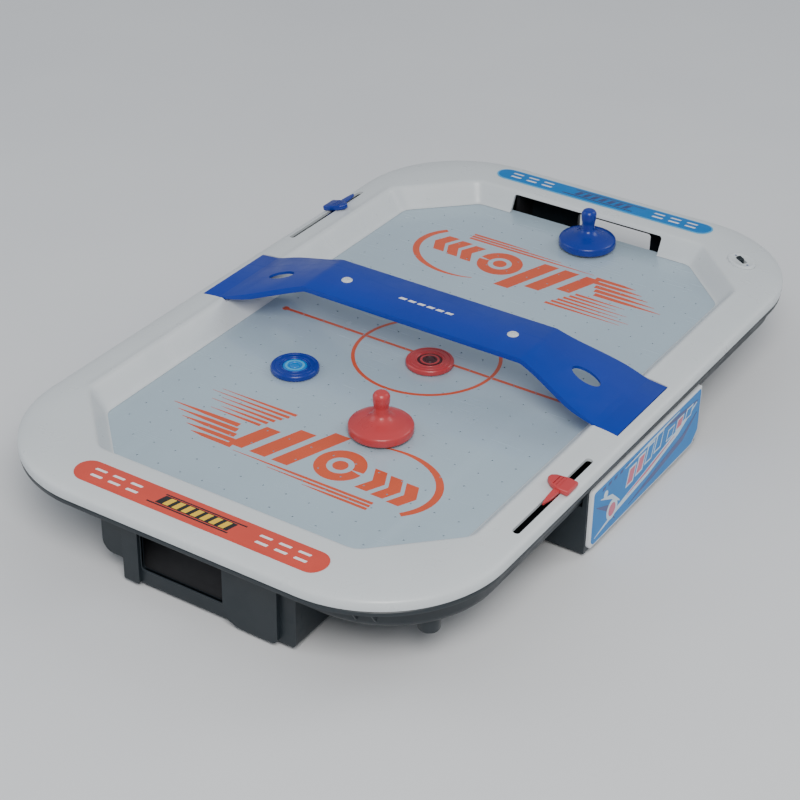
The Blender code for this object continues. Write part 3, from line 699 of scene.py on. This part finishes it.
def centre_mark():
    """Centre line with end dots and the centre circle."""
    widths = [CENTRE_LINE, CENTRE_LINE]
    inner, outer = CENTRE_R - CENTRE_LINE / 2, CENTRE_R + CENTRE_LINE / 2
    shapes = [ribbon([(side * (outer + 0.4), 0), (side * CENTRE_END, 0)], widths, INK_LOW,
                     INK_HIGH) for side in (1, -1)]
    shapes += [slab(disc_points(side * (CENTRE_END + 1), 0, 3, 24), INK_LOW, INK_HIGH)
               for side in (1, -1)]
    shapes.append(skin([[(x * r, y * r, z) for r, z in
                         ((inner, INK_LOW), (outer, INK_LOW), (outer, INK_HIGH),
                          (inner, INK_HIGH))] for x, y in disc_points(0, 0, 1, 120)],
                       ring=True))
    shapes.append(ribbon([(0.3 - inner, 0), (inner - 0.3, 0)], widths, INK_LOW, INK_HIGH))
    return merge(*shapes)


def build_field_prints():
    for name, shape in (("field_mark_near", field_mark()),
                        ("field_mark_far", half_turned(field_mark())),
                        ("centre_mark", centre_mark())):
        item = loose(name, shape)
        boolean(item, air_holes(), "DIFFERENCE", crossing=True)
        dress(item, "print_red")


# ---- tray, legs, box

def build_tray():
    turns = directions(HALF_X, HALF_Y, CORNER_R, 5)

    def wall(d, z):
        return round_outline(TRAY_X - d, TRAY_Y - d, TRAY_R - d), z

    def flange(d, z):
        return round_outline(HALF_X - d, HALF_Y - d, CORNER_R - d), z

    levels = [wall(9, TRAY_BOTTOM)]
    for k in range(5):
        a = math.pi / 2 * k / 4
        levels.append(wall(6 * (1 - math.sin(a)), TRAY_BOTTOM + 6 * (1 - math.cos(a))))
    levels += [wall(0, 59), wall(-0.7, 61.3), wall(-2, FLANGE_BOTTOM)]
    levels += [flange(FLANGE_INSET + d, z) for d, z in
               ((1.2, FLANGE_BOTTOM), (0.35, FLANGE_BOTTOM + 0.35),
                (0, FLANGE_BOTTOM + 1.2), (0, FLANGE_TOP - 0.8), (0.8, FLANGE_TOP))]
    levels += [wall(2.2, FLANGE_TOP), wall(2.2, TRAY_BOTTOM + 6), wall(8, TRAY_BOTTOM + 2.2)]
    loops = [[(*outline.at(a), z) for a in turns] for outline, z in levels]
    item = loose("air_tray_shell", skin(loops))
    for x in (-166, 166):
        for y in (-259, 259):
            profile = rounded([(0, 31), (8, 31), (8.6, 46), (0, 46)], [0, 1.4, 0, 0],
                              closed=False)
            join(item, moved(lathe(profile, 40), x, y))
    for sign in (1, -1):
        cut(item, box_shape(-LEG_X - 0.6, LEG_X + 0.6, sign * (LEG_NECK_Y - 0.4), sign * 305.5,
                            40, LEG_TOP + 0.3))
    for x, y, radius in ((0, 0, 30), (183.6, 56, 3.5)):
        hole = lathe([(0, 40), (radius, 40), (radius, 55), (0, 55)], 64)
        cut(item, moved(hole, x, y))
    dress(item, "black", replaces="air_tray", smooth=40)
    gussets = []
    outline = round_outline(TRAY_X, TRAY_Y, TRAY_R)
    for sign in (1, -1):
        for x in (-146, -134, -104, -92, 92, 104, 134, 146):
            angle = math.atan2(280, x)
            for _turn in range(4):
                angle = math.atan2(outline.at(angle).y, x)
            y0 = outline.at(angle).y
            gussets.append(along_x([(sign * (y0 - 0.6), 50), (sign * (y0 + 1), 50),
                                    (sign * (y0 + 8), 61), (sign * (y0 + 8), 62.4),
                                    (sign * (y0 - 0.6), 62.4)], x - 0.8, x + 0.8))
    ribs = []
    for y in (-200, -160, -120, 120, 160, 200):
        ribs.append(slab(rounded(rectangle(-165, 165, y - 0.9, y + 0.9), 0.8), 42.3, 43.7))
    piece("tray_ribs", merge(*gussets, *ribs), "black")


def build_leg(name, far):
    """The hollow leg with its shoulder, pilaster, panel and puck mouth."""
    shift = half_turned if far else (lambda shape: shape)
    front, back, neck, wall = -LEG_Y1, -LEG_Y0, -LEG_NECK_Y, 2.5
    x0, x1, z0, z1 = MOUTH
    body = rounded([(-LEG_X, 43.2), (-LEG_X, 18), (-65, 18), (-65, 3), (LEG_X, 3), (LEG_X, 43.2)],
                   [0, 13, 3, 4, 4, 0], steps=8)
    item = loose("leg_" + name, shift(along_y(body, front, back)))
    panel = rounded([(25.5, LEG_TOP), (25.5, 3), (72, 3), (72, LEG_TOP)], [0, 15, 5, 0], steps=8)
    pilaster = rounded([(-64, LEG_TOP), (-64, 3), (-50, 3), (-50, LEG_TOP)], [0, 1.5, 1.5, 0])
    for shape in (box_shape(-LEG_X, LEG_X, front, neck, 40, LEG_TOP),
                  along_y(panel, front - 4, front + 1),
                  along_y(pilaster, front - 3, front + 1)):
        join(item, shift(shape))
    inside = LEG_X - wall
    hollow = rounded([(-inside, 40.7), (-inside, 20.5), (-62.5, 20.5), (-62.5, 5.5),
                      (inside, 5.5), (inside, 40.7)], [0, 10.5, 2, 2, 2, 0], steps=6)
    mouth = rounded(rectangle(x0, x1, z0, z1), 2.5)
    for shape in (along_y(hollow, front + wall, back - wall),
                  box_shape(-inside, inside, front + wall, neck - wall, 38, 70),
                  box_shape(-80, 80, neck - 6, neck + 4, 48, 70),
                  along_y(mouth, front - 6, front + 6)):
        cut(item, shift(shape))
    dress(item, "black", replaces="end_leg_" + name, smooth=32)
    soften(item, 0.7, 2)
    carry(["goal_pocket_" + name], "inner", 0.5)
    rim = rounded(rectangle(x0 - 0.6, x1 + 0.6, z0 - 1.6, z1 + 1.6), 3)

    def towards_mouth(share):
        return [p.lerp(q, share) for p, q in zip(rim, mouth)]

    rings = ((rim, 0.2), (rim, -0.4), (towards_mouth(0.4), -0.9), (mouth, -0.7), (mouth, 1.5),
             (towards_mouth(0.5), 1.5))
    shape = skin([[(p.x, front + y, p.y) for p in ring] for ring, y in rings], ring=True)
    piece("mouth_frame_" + name, shift(shape), "black")


def build_centre():
    carry(["centre_box"], "black", 1)
    for name, side in (("right", 1), ("left", -1)):
        ring = plate_outline(side, 0, 3)
        loops = []
        for x, d in ((196.3, 0), (198.4, 0), (198.9, 0.25), (199.2, 0.9)):
            loops.append([(side * x, *p) for p in shrunk(ring, d)])
        piece("side_panel_skin_" + name, skin(loops), "panel", replaces="side_panel_" + name)
        build_side_decal(name, side)


def plate_outline(side, margin, radius):
    """Outline (y, z) of a side panel, its lower corners cut off, less a margin."""
    hy, z0, z1 = 91 - margin, 6 + margin, 57.5 - margin
    near, far = (3, 9) if side > 0 else (9, 3)
    return rounded([(-hy, z1), (-hy, z0 + near), (-hy + near, z0), (hy - far, z0), (hy, z0 + far),
                    (hy, z1)], radius)


def build_side_decal(name, side):
    """The printed film on a side panel: blue ground with streaks, discs and bars."""
    outline = plate_outline(side, 2.5, 2.5)

    def lay(what, material, shapes, replaces=()):
        """Stand flat shapes of (along, up) on the panel, each a hair above the last."""
        for k, shape in enumerate(shapes):
            moved(shape, 0, 0, 0.003 * k)
        whole = merge(*shapes)
        for v in whole.verts:
            v.co = Vector((side * v.co.z, side * v.co.x, v.co.y))
        piece(f"decal_{what}_{name}", whole, "decal_" + material, replaces=replaces)

    def bars(count, x, y, step, rise, width, height, lean, margin, z):
        return [slab(slanted(x + i * step - margin, y + i * rise - margin, width + 2 * margin,
                             height + 2 * margin, lean), *z) for i in range(count)]

    def tall(count, first, margin, z):
        """Bars of the left group, counted from the first."""
        return bars(count, -36 + 15 * first, 33 + 2 * first, 15, 2, 9, 12, 4.5, margin, z)

    def low(count, first, margin, z):
        """Bars of the right group, counted from the first."""
        return bars(count, 30 + 16 * first, 38 + first, 16, 1, 9, 7, 3, margin, z)

    lay("ground", "blue", [slab(outline, 199.22, 199.5)],
        "side_decal_" + name)
    z = (199.45, 199.58)
    lay("navy", "dark", [ribbon([(-84, 40), (-66, 30), (-52, 13)], [0.6, 5, 0.8], *z),
                         ribbon([(-30, 12.5), (10, 17), (60, 24), (84, 36)], [0.6, 5, 6, 1.2],
                                *z), ribbon([(20, 53), (50, 49), (84, 47)], [0.6, 4, 1], *z),
                         *bars(7, -76, 50, 9, 0, 4.5, 2.6, 1.2, 0, z)])
    z = (199.53, 199.64)
    lay("pale", "pale", [ribbon([(-84, 13), (-50, 20), (0, 26), (50, 35), (82, 46)],
                                [0.6, 4, 7, 6, 1], *z),
                         ribbon([(-78, 44), (-60, 37), (-46, 26)], [0.6, 4, 1], *z),
                         slab(disc_points(-58, 24.5, 8.6), *z),
                         slab(disc_points(-70, 44.5, 3.2), *z),
                         ribbon([(-40, 50.5), (0, 52), (50, 53.5)], [0.6, 2.4, 0.8], *z),
                         *tall(4, 0, 1.5, z), *low(3, 0, 1.2, z)])
    z = (199.6, 199.7)
    lay("red", "red", [*tall(2, 0, 0, z), *low(1, 1, 0, z), slab(disc_points(-58, 24.5, 5.6), *z),
                       ribbon([(-34, 23.5), (0, 27.5), (44, 34.5)], [0.6, 2.8, 0.6], *z)])
    lay("cyan", "blue", [*tall(2, 2, 0, z), *low(1, 0, 0, z), *low(1, 2, 0, z)])


# ---- labels

def stadium(half_length, radius):
    right = arc(half_length - radius, LABEL_Y, radius, radius, -90, 90, 14)
    left = arc(-half_length + radius, LABEL_Y, radius, radius, 90, 270, 14)
    return right + left


def draped(shape, lift):
    """Lay a flat shape, drawn at z 0 for the far end, on the rim's crest."""
    for d, _z in CREST:
        geometry = shape.verts[:] + shape.edges[:] + shape.faces[:]
        bmesh.ops.bisect_plane(shape, geom=geometry, plane_co=(0, HALF_Y - d, 0),
                               plane_no=(0, 1, 0))
    for vert in shape.verts:
        vert.co.z += crest_height(HALF_Y - vert.co.y) + lift
    return shape


def build_label(name, sign, ground, border):
    def lay(what, material, shape, lift, replaces=()):
        shape = draped(shape, lift)
        piece(f"label_{what}_{name}", shape if sign > 0 else half_turned(shape), material,
              replaces=replaces)

    lay("ground", border, slab(stadium(LABEL_HALF, LABEL_R), 0, 0.3), 0.05, "end_label_" + name)
    lay("field", ground, slab(stadium(LABEL_HALF - 1.4, LABEL_R - 1.4), 0, 0.15), 0.3)
    dashes = []
    for side in (1, -1):
        for group in range(3):
            for row in range(2):
                x = side * (56 + group * 16) - 5 - row
                dash = slanted(x, LABEL_Y - 4.6 + row * 7, 10, 2.2, 1)
                dashes.append(slab(rounded(dash, 0.5), 0, 0.12))
    lay("dashes", "print_white", merge(*dashes), 0.4)
    bars = [slab(slanted(-27 + i * 8, LABEL_Y - 4, 4.6, 8, 2.6), 0, 0.12) for i in range(7)]
    lay("bars", "print_yellow" if sign < 0 else "print_navy", merge(*bars), 0.4)
    under = [slab(slanted(-38, LABEL_Y - 6.6, 70, 1.2, 0.4), 0, 0.12),
             slab(slanted(-30, LABEL_Y + 5.6, 70, 1.2, 0.4), 0, 0.12)]
    if sign < 0:
        under.append(slab(slanted(-31, LABEL_Y - 4.8, 62, 9.6, 3), 0, 0.1))
    lay("lines", "print_black", merge(*under), 0.38)


# ---- bridge

def bridge_line():
    """Underside of the bridge from the middle to a foot: (x, z)."""
    corners = [(-40, BRIDGE_UNDER_Z), (100, BRIDGE_UNDER_Z), (168.5, 78.6), (174.5, 76.75),
               (190.8, 74.97)]
    return [p for p in rounded(corners, [0, 14, 10, 5, 0], closed=False, steps=8) if p.x > 0]


def bridge_half_width(x):
    """Half width of the bridge: narrow over the board, flared at the rim."""
    t = min(1, max(0, (x - 96) / 68))
    return BRIDGE_HALF + BRIDGE_FLARE * (t * t * (3 - 2 * t))


def build_bridge():
    half = bridge_line()
    flat = [Vector((x, BRIDGE_UNDER_Z)) for x in range(0, int(half[0].x), 8)]
    right = flat + half
    line = [Vector((-p.x, p.y)) for p in reversed(right[1:])] + right
    dense = []
    for p, q in zip(line, line[1:]):
        pieces = max(1, round((q - p).length / 6))
        dense += [p.lerp(q, k / pieces) for k in range(pieces)]
    dense.append(line[-1])
    loops = []
    t = BRIDGE_T
    for i, p in enumerate(dense):
        along = (dense[min(i + 1, len(dense) - 1)] - dense[max(i - 1, 0)]).normalized()
        up = Vector((-along.y, along.x))
        w = bridge_half_width(abs(p.x))
        skirt = 2.2 * min(1, max(0, (168 - abs(p.x)) / 20))
        section = [(-w + 1.8, 0.35), (-w + 1.6, -skirt), (-w + 0.3, -skirt), (-w, -skirt + 0.3),
                   (-w, t - 0.8), (-w + 0.25, t - 0.25), (-w + 0.8, t), (w - 0.8, t),
                   (w - 0.25, t - 0.25), (w, t - 0.8), (w, -skirt + 0.3), (w - 0.3, -skirt),
                   (w - 1.6, -skirt), (w - 1.8, 0.35)]
        loops.append([(p.x + up.x * h, y, p.y + up.y * h) for y, h in section])
    item = loose("bridge_shell", skin(loops))
    for side in (1, -1):
        cut(item, moved(oval_hole(12, 7.5, 60, 125), side * BRIDGE_HOLE_X))
        stem = lathe([(0, 90), (2.4, 90), (2.4, 125), (0, 125)], 24)
        cut(item, moved(stem, side * BRIDGE_CAP_X))
    dress(item, "bridge", replaces="bridge", smooth=38)


def build_bridge_trim():
    dashes = []
    for i in range(6):
        dashes.append(slab(slanted(-27 + i * 8.6, -1.4, 6, 2.8, 1.2), BRIDGE_TOP_Z - 0.02,
                           BRIDGE_TOP_Z + 0.1))
    piece("bridge_dashes", merge(*dashes), "print_white")
    for name, side in (("right", 1), ("left", -1)):
        profile = rounded([(0, 1.55), (3.2, 1.35), (4.6, 0.3), (4.6, 0.05), (2, 0.05), (2, -4),
                           (0, -4)], [0, 1, 0.3, 0.1, 0, 0.3, 0], closed=False)
        x = side * BRIDGE_CAP_X
        item = loose("cap_" + name, moved(lathe(profile, 40), x, 0, BRIDGE_TOP_Z))
        cut(item, box_shape(x - 3, x + 3, -0.5, 0.5, BRIDGE_TOP_Z + 1, BRIDGE_TOP_Z + 3))
        dress(item, "white", replaces="bridge_cap_" + name)


# ---- score sliders

def build_slider(name, sign, y):
    """A wing-shaped knob with a pointer, leaning with the rim, and its stem."""
    x = sign * SLOT_X
    wing = [(-11.5, -1), (-11, 2.5), (-8, 5.5), (1, 9), (8.7, 9.5), (8.7, -6.5), (0, -8),
            (-6, -6), (-9.5, -3.5)]
    radii = [1.5, 1.5, 3, 6, 1.8, 1.8, 5, 5, 2.5]
    outline = [(sign * p.x, sign * p.y) for p in rounded(list(reversed(wing)),
                                                         list(reversed(radii)))]
    tail = ribbon([(0, 0), (0, -sign * 12), (0, -sign * 20), (0, -sign * 27)],
                  [5.2, 4.4, 3.4, 0.8], 0.2, 2.6)
    lean = Matrix.Rotation(sign * KNOB_LEAN, 3, "Y")
    stem = box_shape(x - 2.2, x + 2.2, y - 3.5, y + 3.5, 70.4, 80.5)
    item = loose("slider_" + name, moved(slab(outline, 0, 4.3, 1.1), x, y, KNOB_Z, lean))
    join(item, moved(tail, x, y, KNOB_Z, lean), stem)
    for k in (-2, -1, 0, 1, 2):
        groove = box_shape(-0.35, 0.35, -5.5, 6, 3.9, 8)
        cut(item, moved(groove, x + sign * k * 2.4, y, KNOB_Z, lean))
    dress(item, name, body="score_" + name, replaces="score_slider_" + name)
    carry(["score_clip_" + name], name, 0.4)


# ---- mallets and pucks

def middle_of(node):
    """Where a CAD node's middle stands, (x, y)."""
    low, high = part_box(node)
    middle = (Vector(low) + Vector(high)) / (2 * MM)
    return middle.x, middle.y


def build_mallet(colour):
    at = middle_of("mallet_" + colour)
    h, r = MALLET_H, MALLET_R
    corners = [(0, h), (4.6, h), (6.6, h - 3), (6.5, h - 8), (5.5, h - 13), (5.9, h - 19),
               (10.5, h - 22.6), (19, h - 24.6), (r, h - 27.4), (r, 1.6), (r - 1.6, 0), (16, 0),
               (16, 2), (0, 2)]
    radii = [0, 3.6, 3.4, 14, 10, 5, 12, 14, 2.6, 0.8, 0.8, 0.3, 0.3, 0]
    profile = rounded(corners, radii, closed=False, steps=7)
    body = moved(lathe(profile, 96), *at, MALLET_LOW)
    piece("mallet_body_" + colour, body, colour, body="mallet_" + colour,
          replaces="mallet_" + colour, smooth=50)
    ring = rounded([(12, 0.1), (21.8, 0.1), (21.8, 1.45), (12, 1.45)], 0.4, steps=3)
    pad = moved(lathe(ring, 96, closed=True), *at, LOOSE_LOW)
    for vert in pad.verts:
        vert.co.z += 0.12 * noise.noise(Vector(vert.co) * 0.9)
    piece("mallet_pad_" + colour, pad, "felt", body="mallet_" + colour,
          replaces="mallet_felt_" + colour, smooth=70)


def build_puck(colour, inlay_look, band_look):
    at = (*middle_of("puck_ring_" + colour), LOOSE_LOW)
    r, h, body = PUCK_R, PUCK_H, "puck_" + colour
    ring = [(9.9, 0.8), (10.6, 0.05), (r - 1, 0), (r, 1), (r, 4), (r - 1, h), (16.6, h),
            (16.3, h - 0.35), (15.7, h - 0.35), (15.4, h), (12.4, h), (12.1, h - 0.35),
            (11.5, h - 0.35), (11.2, h), (10.5, h), (9.9, h - 0.6)]
    radii = [0.2, 0.3, 0.7, 0.7, 0.7, 0.7, 0.15, 0.1, 0.1, 0.15, 0.15, 0.1, 0.1, 0.15, 0.3, 0.2]
    shape = lathe(rounded(ring, radii, steps=3), 96, closed=True)
    piece("puck_rim_" + colour, moved(shape, *at), colour, body=body,
          replaces="puck_ring_" + colour)
    inlay = [(0, h - 0.5), (3.4, h - 0.5), (3.7, h - 0.9), (4.4, h - 0.9), (4.7, h - 0.5),
             (9, h - 0.5), (9.75, h - 0.9), (9.75, 0.6), (9.2, 0.35), (0, 0.35)]
    profile = rounded(inlay, [0, 0.1, 0.1, 0.1, 0.1, 0.4, 0.3, 0.3, 0.3, 0], closed=False,
                      steps=3)
    piece("puck_core_" + colour, moved(lathe(profile, 72), *at), inlay_look, body=body,
          replaces="puck_inlay_" + colour)
    band = rounded([(6, h - 0.52), (7.8, h - 0.52), (7.8, h - 0.4), (6, h - 0.4)], 0.03)
    piece("puck_band_" + colour, moved(lathe(band, 72, closed=True), *at), band_look, body=body)


# ---- switch

def build_switch():
    turn = Matrix.Rotation(SWITCH_TURN, 3, "Z")

    def placed(shape, along=0):
        """Put a shape, drawn at the middle of the switch, on the rim."""
        at = Vector((*SWITCH_AT, 0)) + turn @ Vector((along, 0, 0))
        return moved(shape, at.x, at.y, 0, turn)

    rows = [oval_loop(13, 8, 74.4), oval_loop(13, 8, 79.5)]
    for z, k in ((79.55, 1), (80.2, 1), (80.9, 0.97), (81.25, 0.9), (81.2, 0.78), (80.7, 0.7)):
        rows.append(oval_loop(15.4 * k, 10.4 * k, z))
    item = loose("switch_bezel_skin", placed(skin(rows)))
    cut(item, placed(slab(rounded(rectangle(-6.3, 6.3, -2.5, 2.5), 1), 70, 90)))
    dress(item, "white", replaces="switch_bezel")
    knob = slab(rounded(rectangle(-3.3, 3.3, -2.1, 2.1), 0.6), 74.5, 82.1, 0.5)
    lever = loose("switch_lever", placed(knob, -2.5))
    for k in (-1, 0, 1):
        cut(lever, placed(box_shape(k * 1.5 - 0.3, k * 1.5 + 0.3, -3, 3, 81.6, 84), -2.5))
    dress(lever, "black", body="switch", replaces="switch_knob")
    for name, along in (("on", -9.6), ("off", 9.6)):
        at = Vector(SWITCH_AT) + turn.to_2x2() @ Vector((along, 0))
        dot = slab(disc_points(at.x, at.y, 0.9, 20), 80.6, 80.84)
        piece("switch_dot_" + name, dot, "print_navy")


# ---- small parts

def build_feet_and_screws():
    for i in range(1, 7):
        x, y = middle_of(f"foot_{i}")
        profile = rounded([(0, 2.75), (6.4, 2.75), (7, 1.2), (6.4, 0), (2.2, 0), (2, 0.5),
                           (0, 0.5)], [0, 0.4, 0.8, 0.5, 0.2, 0.2, 0], closed=False)
        piece(f"foot_pad_{i}", moved(lathe(profile, 48), x, y), "rubber", replaces=f"foot_{i}")
    for i, (x, y) in enumerate(SCREW_SPOTS):
        profile = rounded([(0, 73.4), (1.6, 72.6), (1.6, 61.7), (3.6, 61.7), (3.3, 60),
                           (0, 59.6)], [0, 0.2, 0.1, 0.2, 1, 0], closed=False)
        item = loose(f"screw_{i + 1}", moved(lathe(profile, 32), x, y))
        for turn in (0, math.pi / 2):
            groove = box_shape(-2.2, 2.2, -0.35, 0.35, 58.5, 60.6)
            cut(item, moved(groove, x, y, 0, Matrix.Rotation(turn + 0.4, 3, "Z")))
        dress(item, "steel", replaces=f"tray_screw_{i + 1}")


def build_door_grip():
    """Grip ridges and an arrow on the battery door."""
    ridges = []
    for i in range(6):
        y = -82 + i * 3.4
        bar = rounded(rectangle(-136, -96, y - 0.7, y + 0.7), 0.6)
        ridges.append(slab(bar, 2.55, 3.3))
    arrow = [(-120, -52), (-112, -52), (-112, -44), (-108, -44), (-116, -36), (-124, -44),
             (-120, -44)]
    ridges.append(slab([(p[0], -88 - p[1]) for p in reversed(arrow)], 2.75, 3.3))
    piece("door_ridges", merge(*ridges), "black", body="door")


def build_inside():
    carry(["battery_door"], "black", 0.5)
    carry(["inlet_grille", "motor_mount", "fan_shroud"], "black", 0.4)
    carry(["field_support", "battery_tray"], "inner", 0.3)
    carry(["switch_body"], "black", 0.3)
    carry(["fan_impeller"], "fan", 0.4)
    carry(["fan_motor", "motor_shaft", "contact_plate_left", "contact_plate_right"], "steel",
          0.3)
    carry([f"cell_{i}" for i in range(1, 5)], "cell", 0.6)
    carry(["switch_wire", "cell_wire"], "wire")
    for name in ("switch_wire", "cell_wire"):
        NODES[name].data.shade_smooth()
    build_door_grip()


# ---- stage

def build_stage():
    floor = bpy.data.meshes.new("floor")
    size = 6
    floor.from_pydata([(-size, -size, 0), (size, -size, 0), (size, size, 0), (-size, size, 0)],
                      [], [(0, 1, 2, 3)])
    item = bpy.data.objects.new("floor", floor)
    item.location.z = -0.0005
    bpy.context.scene.collection.objects.link(item)
    made = Shader("floor", 0.6, specular=0.2)
    tone = made.remap(made.noise(3, 3), 0.3, 0.7, 0, 1)
    made.colour(made.mix(tone, (0.74, 0.75, 0.77), (0.78, 0.79, 0.80)))
    floor.materials.append(made.material)
    world = bpy.data.worlds.new("studio")
    world.use_nodes = True
    sky = world.node_tree.nodes["Background"]
    sky.inputs["Color"].default_value = (0.88, 0.93, 1, 1)
    sky.inputs["Strength"].default_value = 0.42
    bpy.context.scene.world = world
    for name, spot, width, power, tint in (
            ("key", (1.1, -1.5, 2), 1.3, 52, (1, 0.98, 0.95)),
            ("fill", (-1.9, -0.8, 1.3), 1.8, 10, (0.88, 0.94, 1)),
            ("back", (1.4, 1.7, 1.7), 1.4, 14, (0.95, 0.98, 1))):
        light = bpy.data.lights.new(name, "AREA")
        light.shape = "DISK"
        light.size = width
        light.energy = power
        light.color = tint
        lamp = bpy.data.objects.new(name, light)
        lamp.location = spot
        lamp.rotation_euler = (Vector((0, 0, 0.05)) - Vector(spot)).to_track_quat(
            "-Z", "Y").to_euler()
        bpy.context.scene.collection.objects.link(lamp)


def build_camera():
    data = bpy.data.cameras.new("camera")
    data.lens = LENS
    data.sensor_width = 36
    data.clip_start, data.clip_end = 0.05, 30
    item = bpy.data.objects.new("camera", data)
    back = Vector((math.sin(CAMERA_AZIMUTH) * math.cos(CAMERA_ELEVATION),
                   -math.cos(CAMERA_AZIMUTH) * math.cos(CAMERA_ELEVATION),
                   math.sin(CAMERA_ELEVATION)))
    item.location = CAMERA_AIM + back * CAMERA_DISTANCE
    level = (-back).to_track_quat("-Z", "Y")
    item.rotation_euler = (level @ Quaternion((0, 0, 1), CAMERA_ROLL)).to_euler()
    bpy.context.scene.collection.objects.link(item)
    bpy.context.scene.camera = item


def make_materials():
    return {
        "white": plastic("rim_white", (0.66, 0.695, 0.71), 0.32, variation=0.02),
        "board": plastic("board_white", (0.40, 0.505, 0.58), 0.22, grain=0.00001,
                         wave=0.00002, variation=0.025, coat=0.3),
        "panel": plastic("panel_white", (0.70, 0.73, 0.75), 0.35, variation=0.02),
        "black": plastic("black_plastic", (0.013, 0.020, 0.026), 0.42, grain=0.00005,
                         variation=0.12),
        "inner": plastic("inner_black", (0.008, 0.008, 0.010), 0.6, variation=0.1),
        "bridge": plastic("bridge_blue", (0.004, 0.034, 0.33), 0.33, variation=0.06,
                          specular=0.4),
        "blue": plastic("toy_blue", (0.003, 0.026, 0.28), 0.28, variation=0.06),
        "red": plastic("toy_red", (0.52, 0.05, 0.055), 0.3, variation=0.06),
        "cyan": plastic("toy_cyan", (0.003, 0.20, 0.60), 0.28, variation=0.06),
        "dark": plastic("toy_dark", (0.06, 0.012, 0.016), 0.35, variation=0.08),
        "fan": plastic("fan_plastic", (0.55, 0.56, 0.54), 0.4),
        "print_red": film("print_red", (0.66, 0.095, 0.035), 0.35, 0.15),
        "label_red": film("label_red", (0.66, 0.075, 0.05), 0.45, 0),
        "label_blue": film("label_blue", (0.001, 0.17, 0.52), 0.5, 0),
        "label_pale": film("label_pale", (0.08, 0.42, 0.72), 0.5, 0),
        "print_white": film("print_white", (0.85, 0.86, 0.87)),
        "print_yellow": film("print_yellow", (0.90, 0.55, 0.03)),
        "print_navy": film("print_navy", (0.01, 0.03, 0.16)),
        "print_black": film("print_black", (0.012, 0.012, 0.014)),
        "decal_blue": film("decal_blue", (0.002, 0.20, 0.56), 0.45, 0),
        "decal_pale": film("decal_pale", (0.60, 0.74, 0.84)),
        "decal_red": film("decal_red", (0.62, 0.09, 0.16)),
        "decal_dark": film("decal_dark", (0.008, 0.03, 0.20)),
        "felt": felt("felt_pad", (0.05, 0.05, 0.055)),
        "rubber": rubber("foot_rubber", (0.02, 0.02, 0.022)),
        "steel": metal("steel", (0.6, 0.6, 0.6)),
        "cell": cell_wrap("cell_wrap"),
        "wire": plastic("wire_sleeve", (0.35, 0.02, 0.02), 0.45),
    }


def build():
    LOOKS.update(make_materials())
    build_rim()
    build_board()
    build_field_prints()
    build_tray()
    build_leg("near", False)
    build_leg("far", True)
    build_centre()
    build_label("red", -1, "label_red", "label_red")
    build_label("blue", 1, "label_blue", "label_pale")
    build_bridge()
    build_bridge_trim()
    build_slider("red", 1, -124)
    build_slider("blue", -1, 150)
    build_mallet("red")
    build_mallet("blue")
    build_puck("red", "dark", "red")
    build_puck("blue", "cyan", "label_pale")
    build_switch()
    build_inside()
    build_feet_and_screws()
    build_stage()
    build_camera()


build()
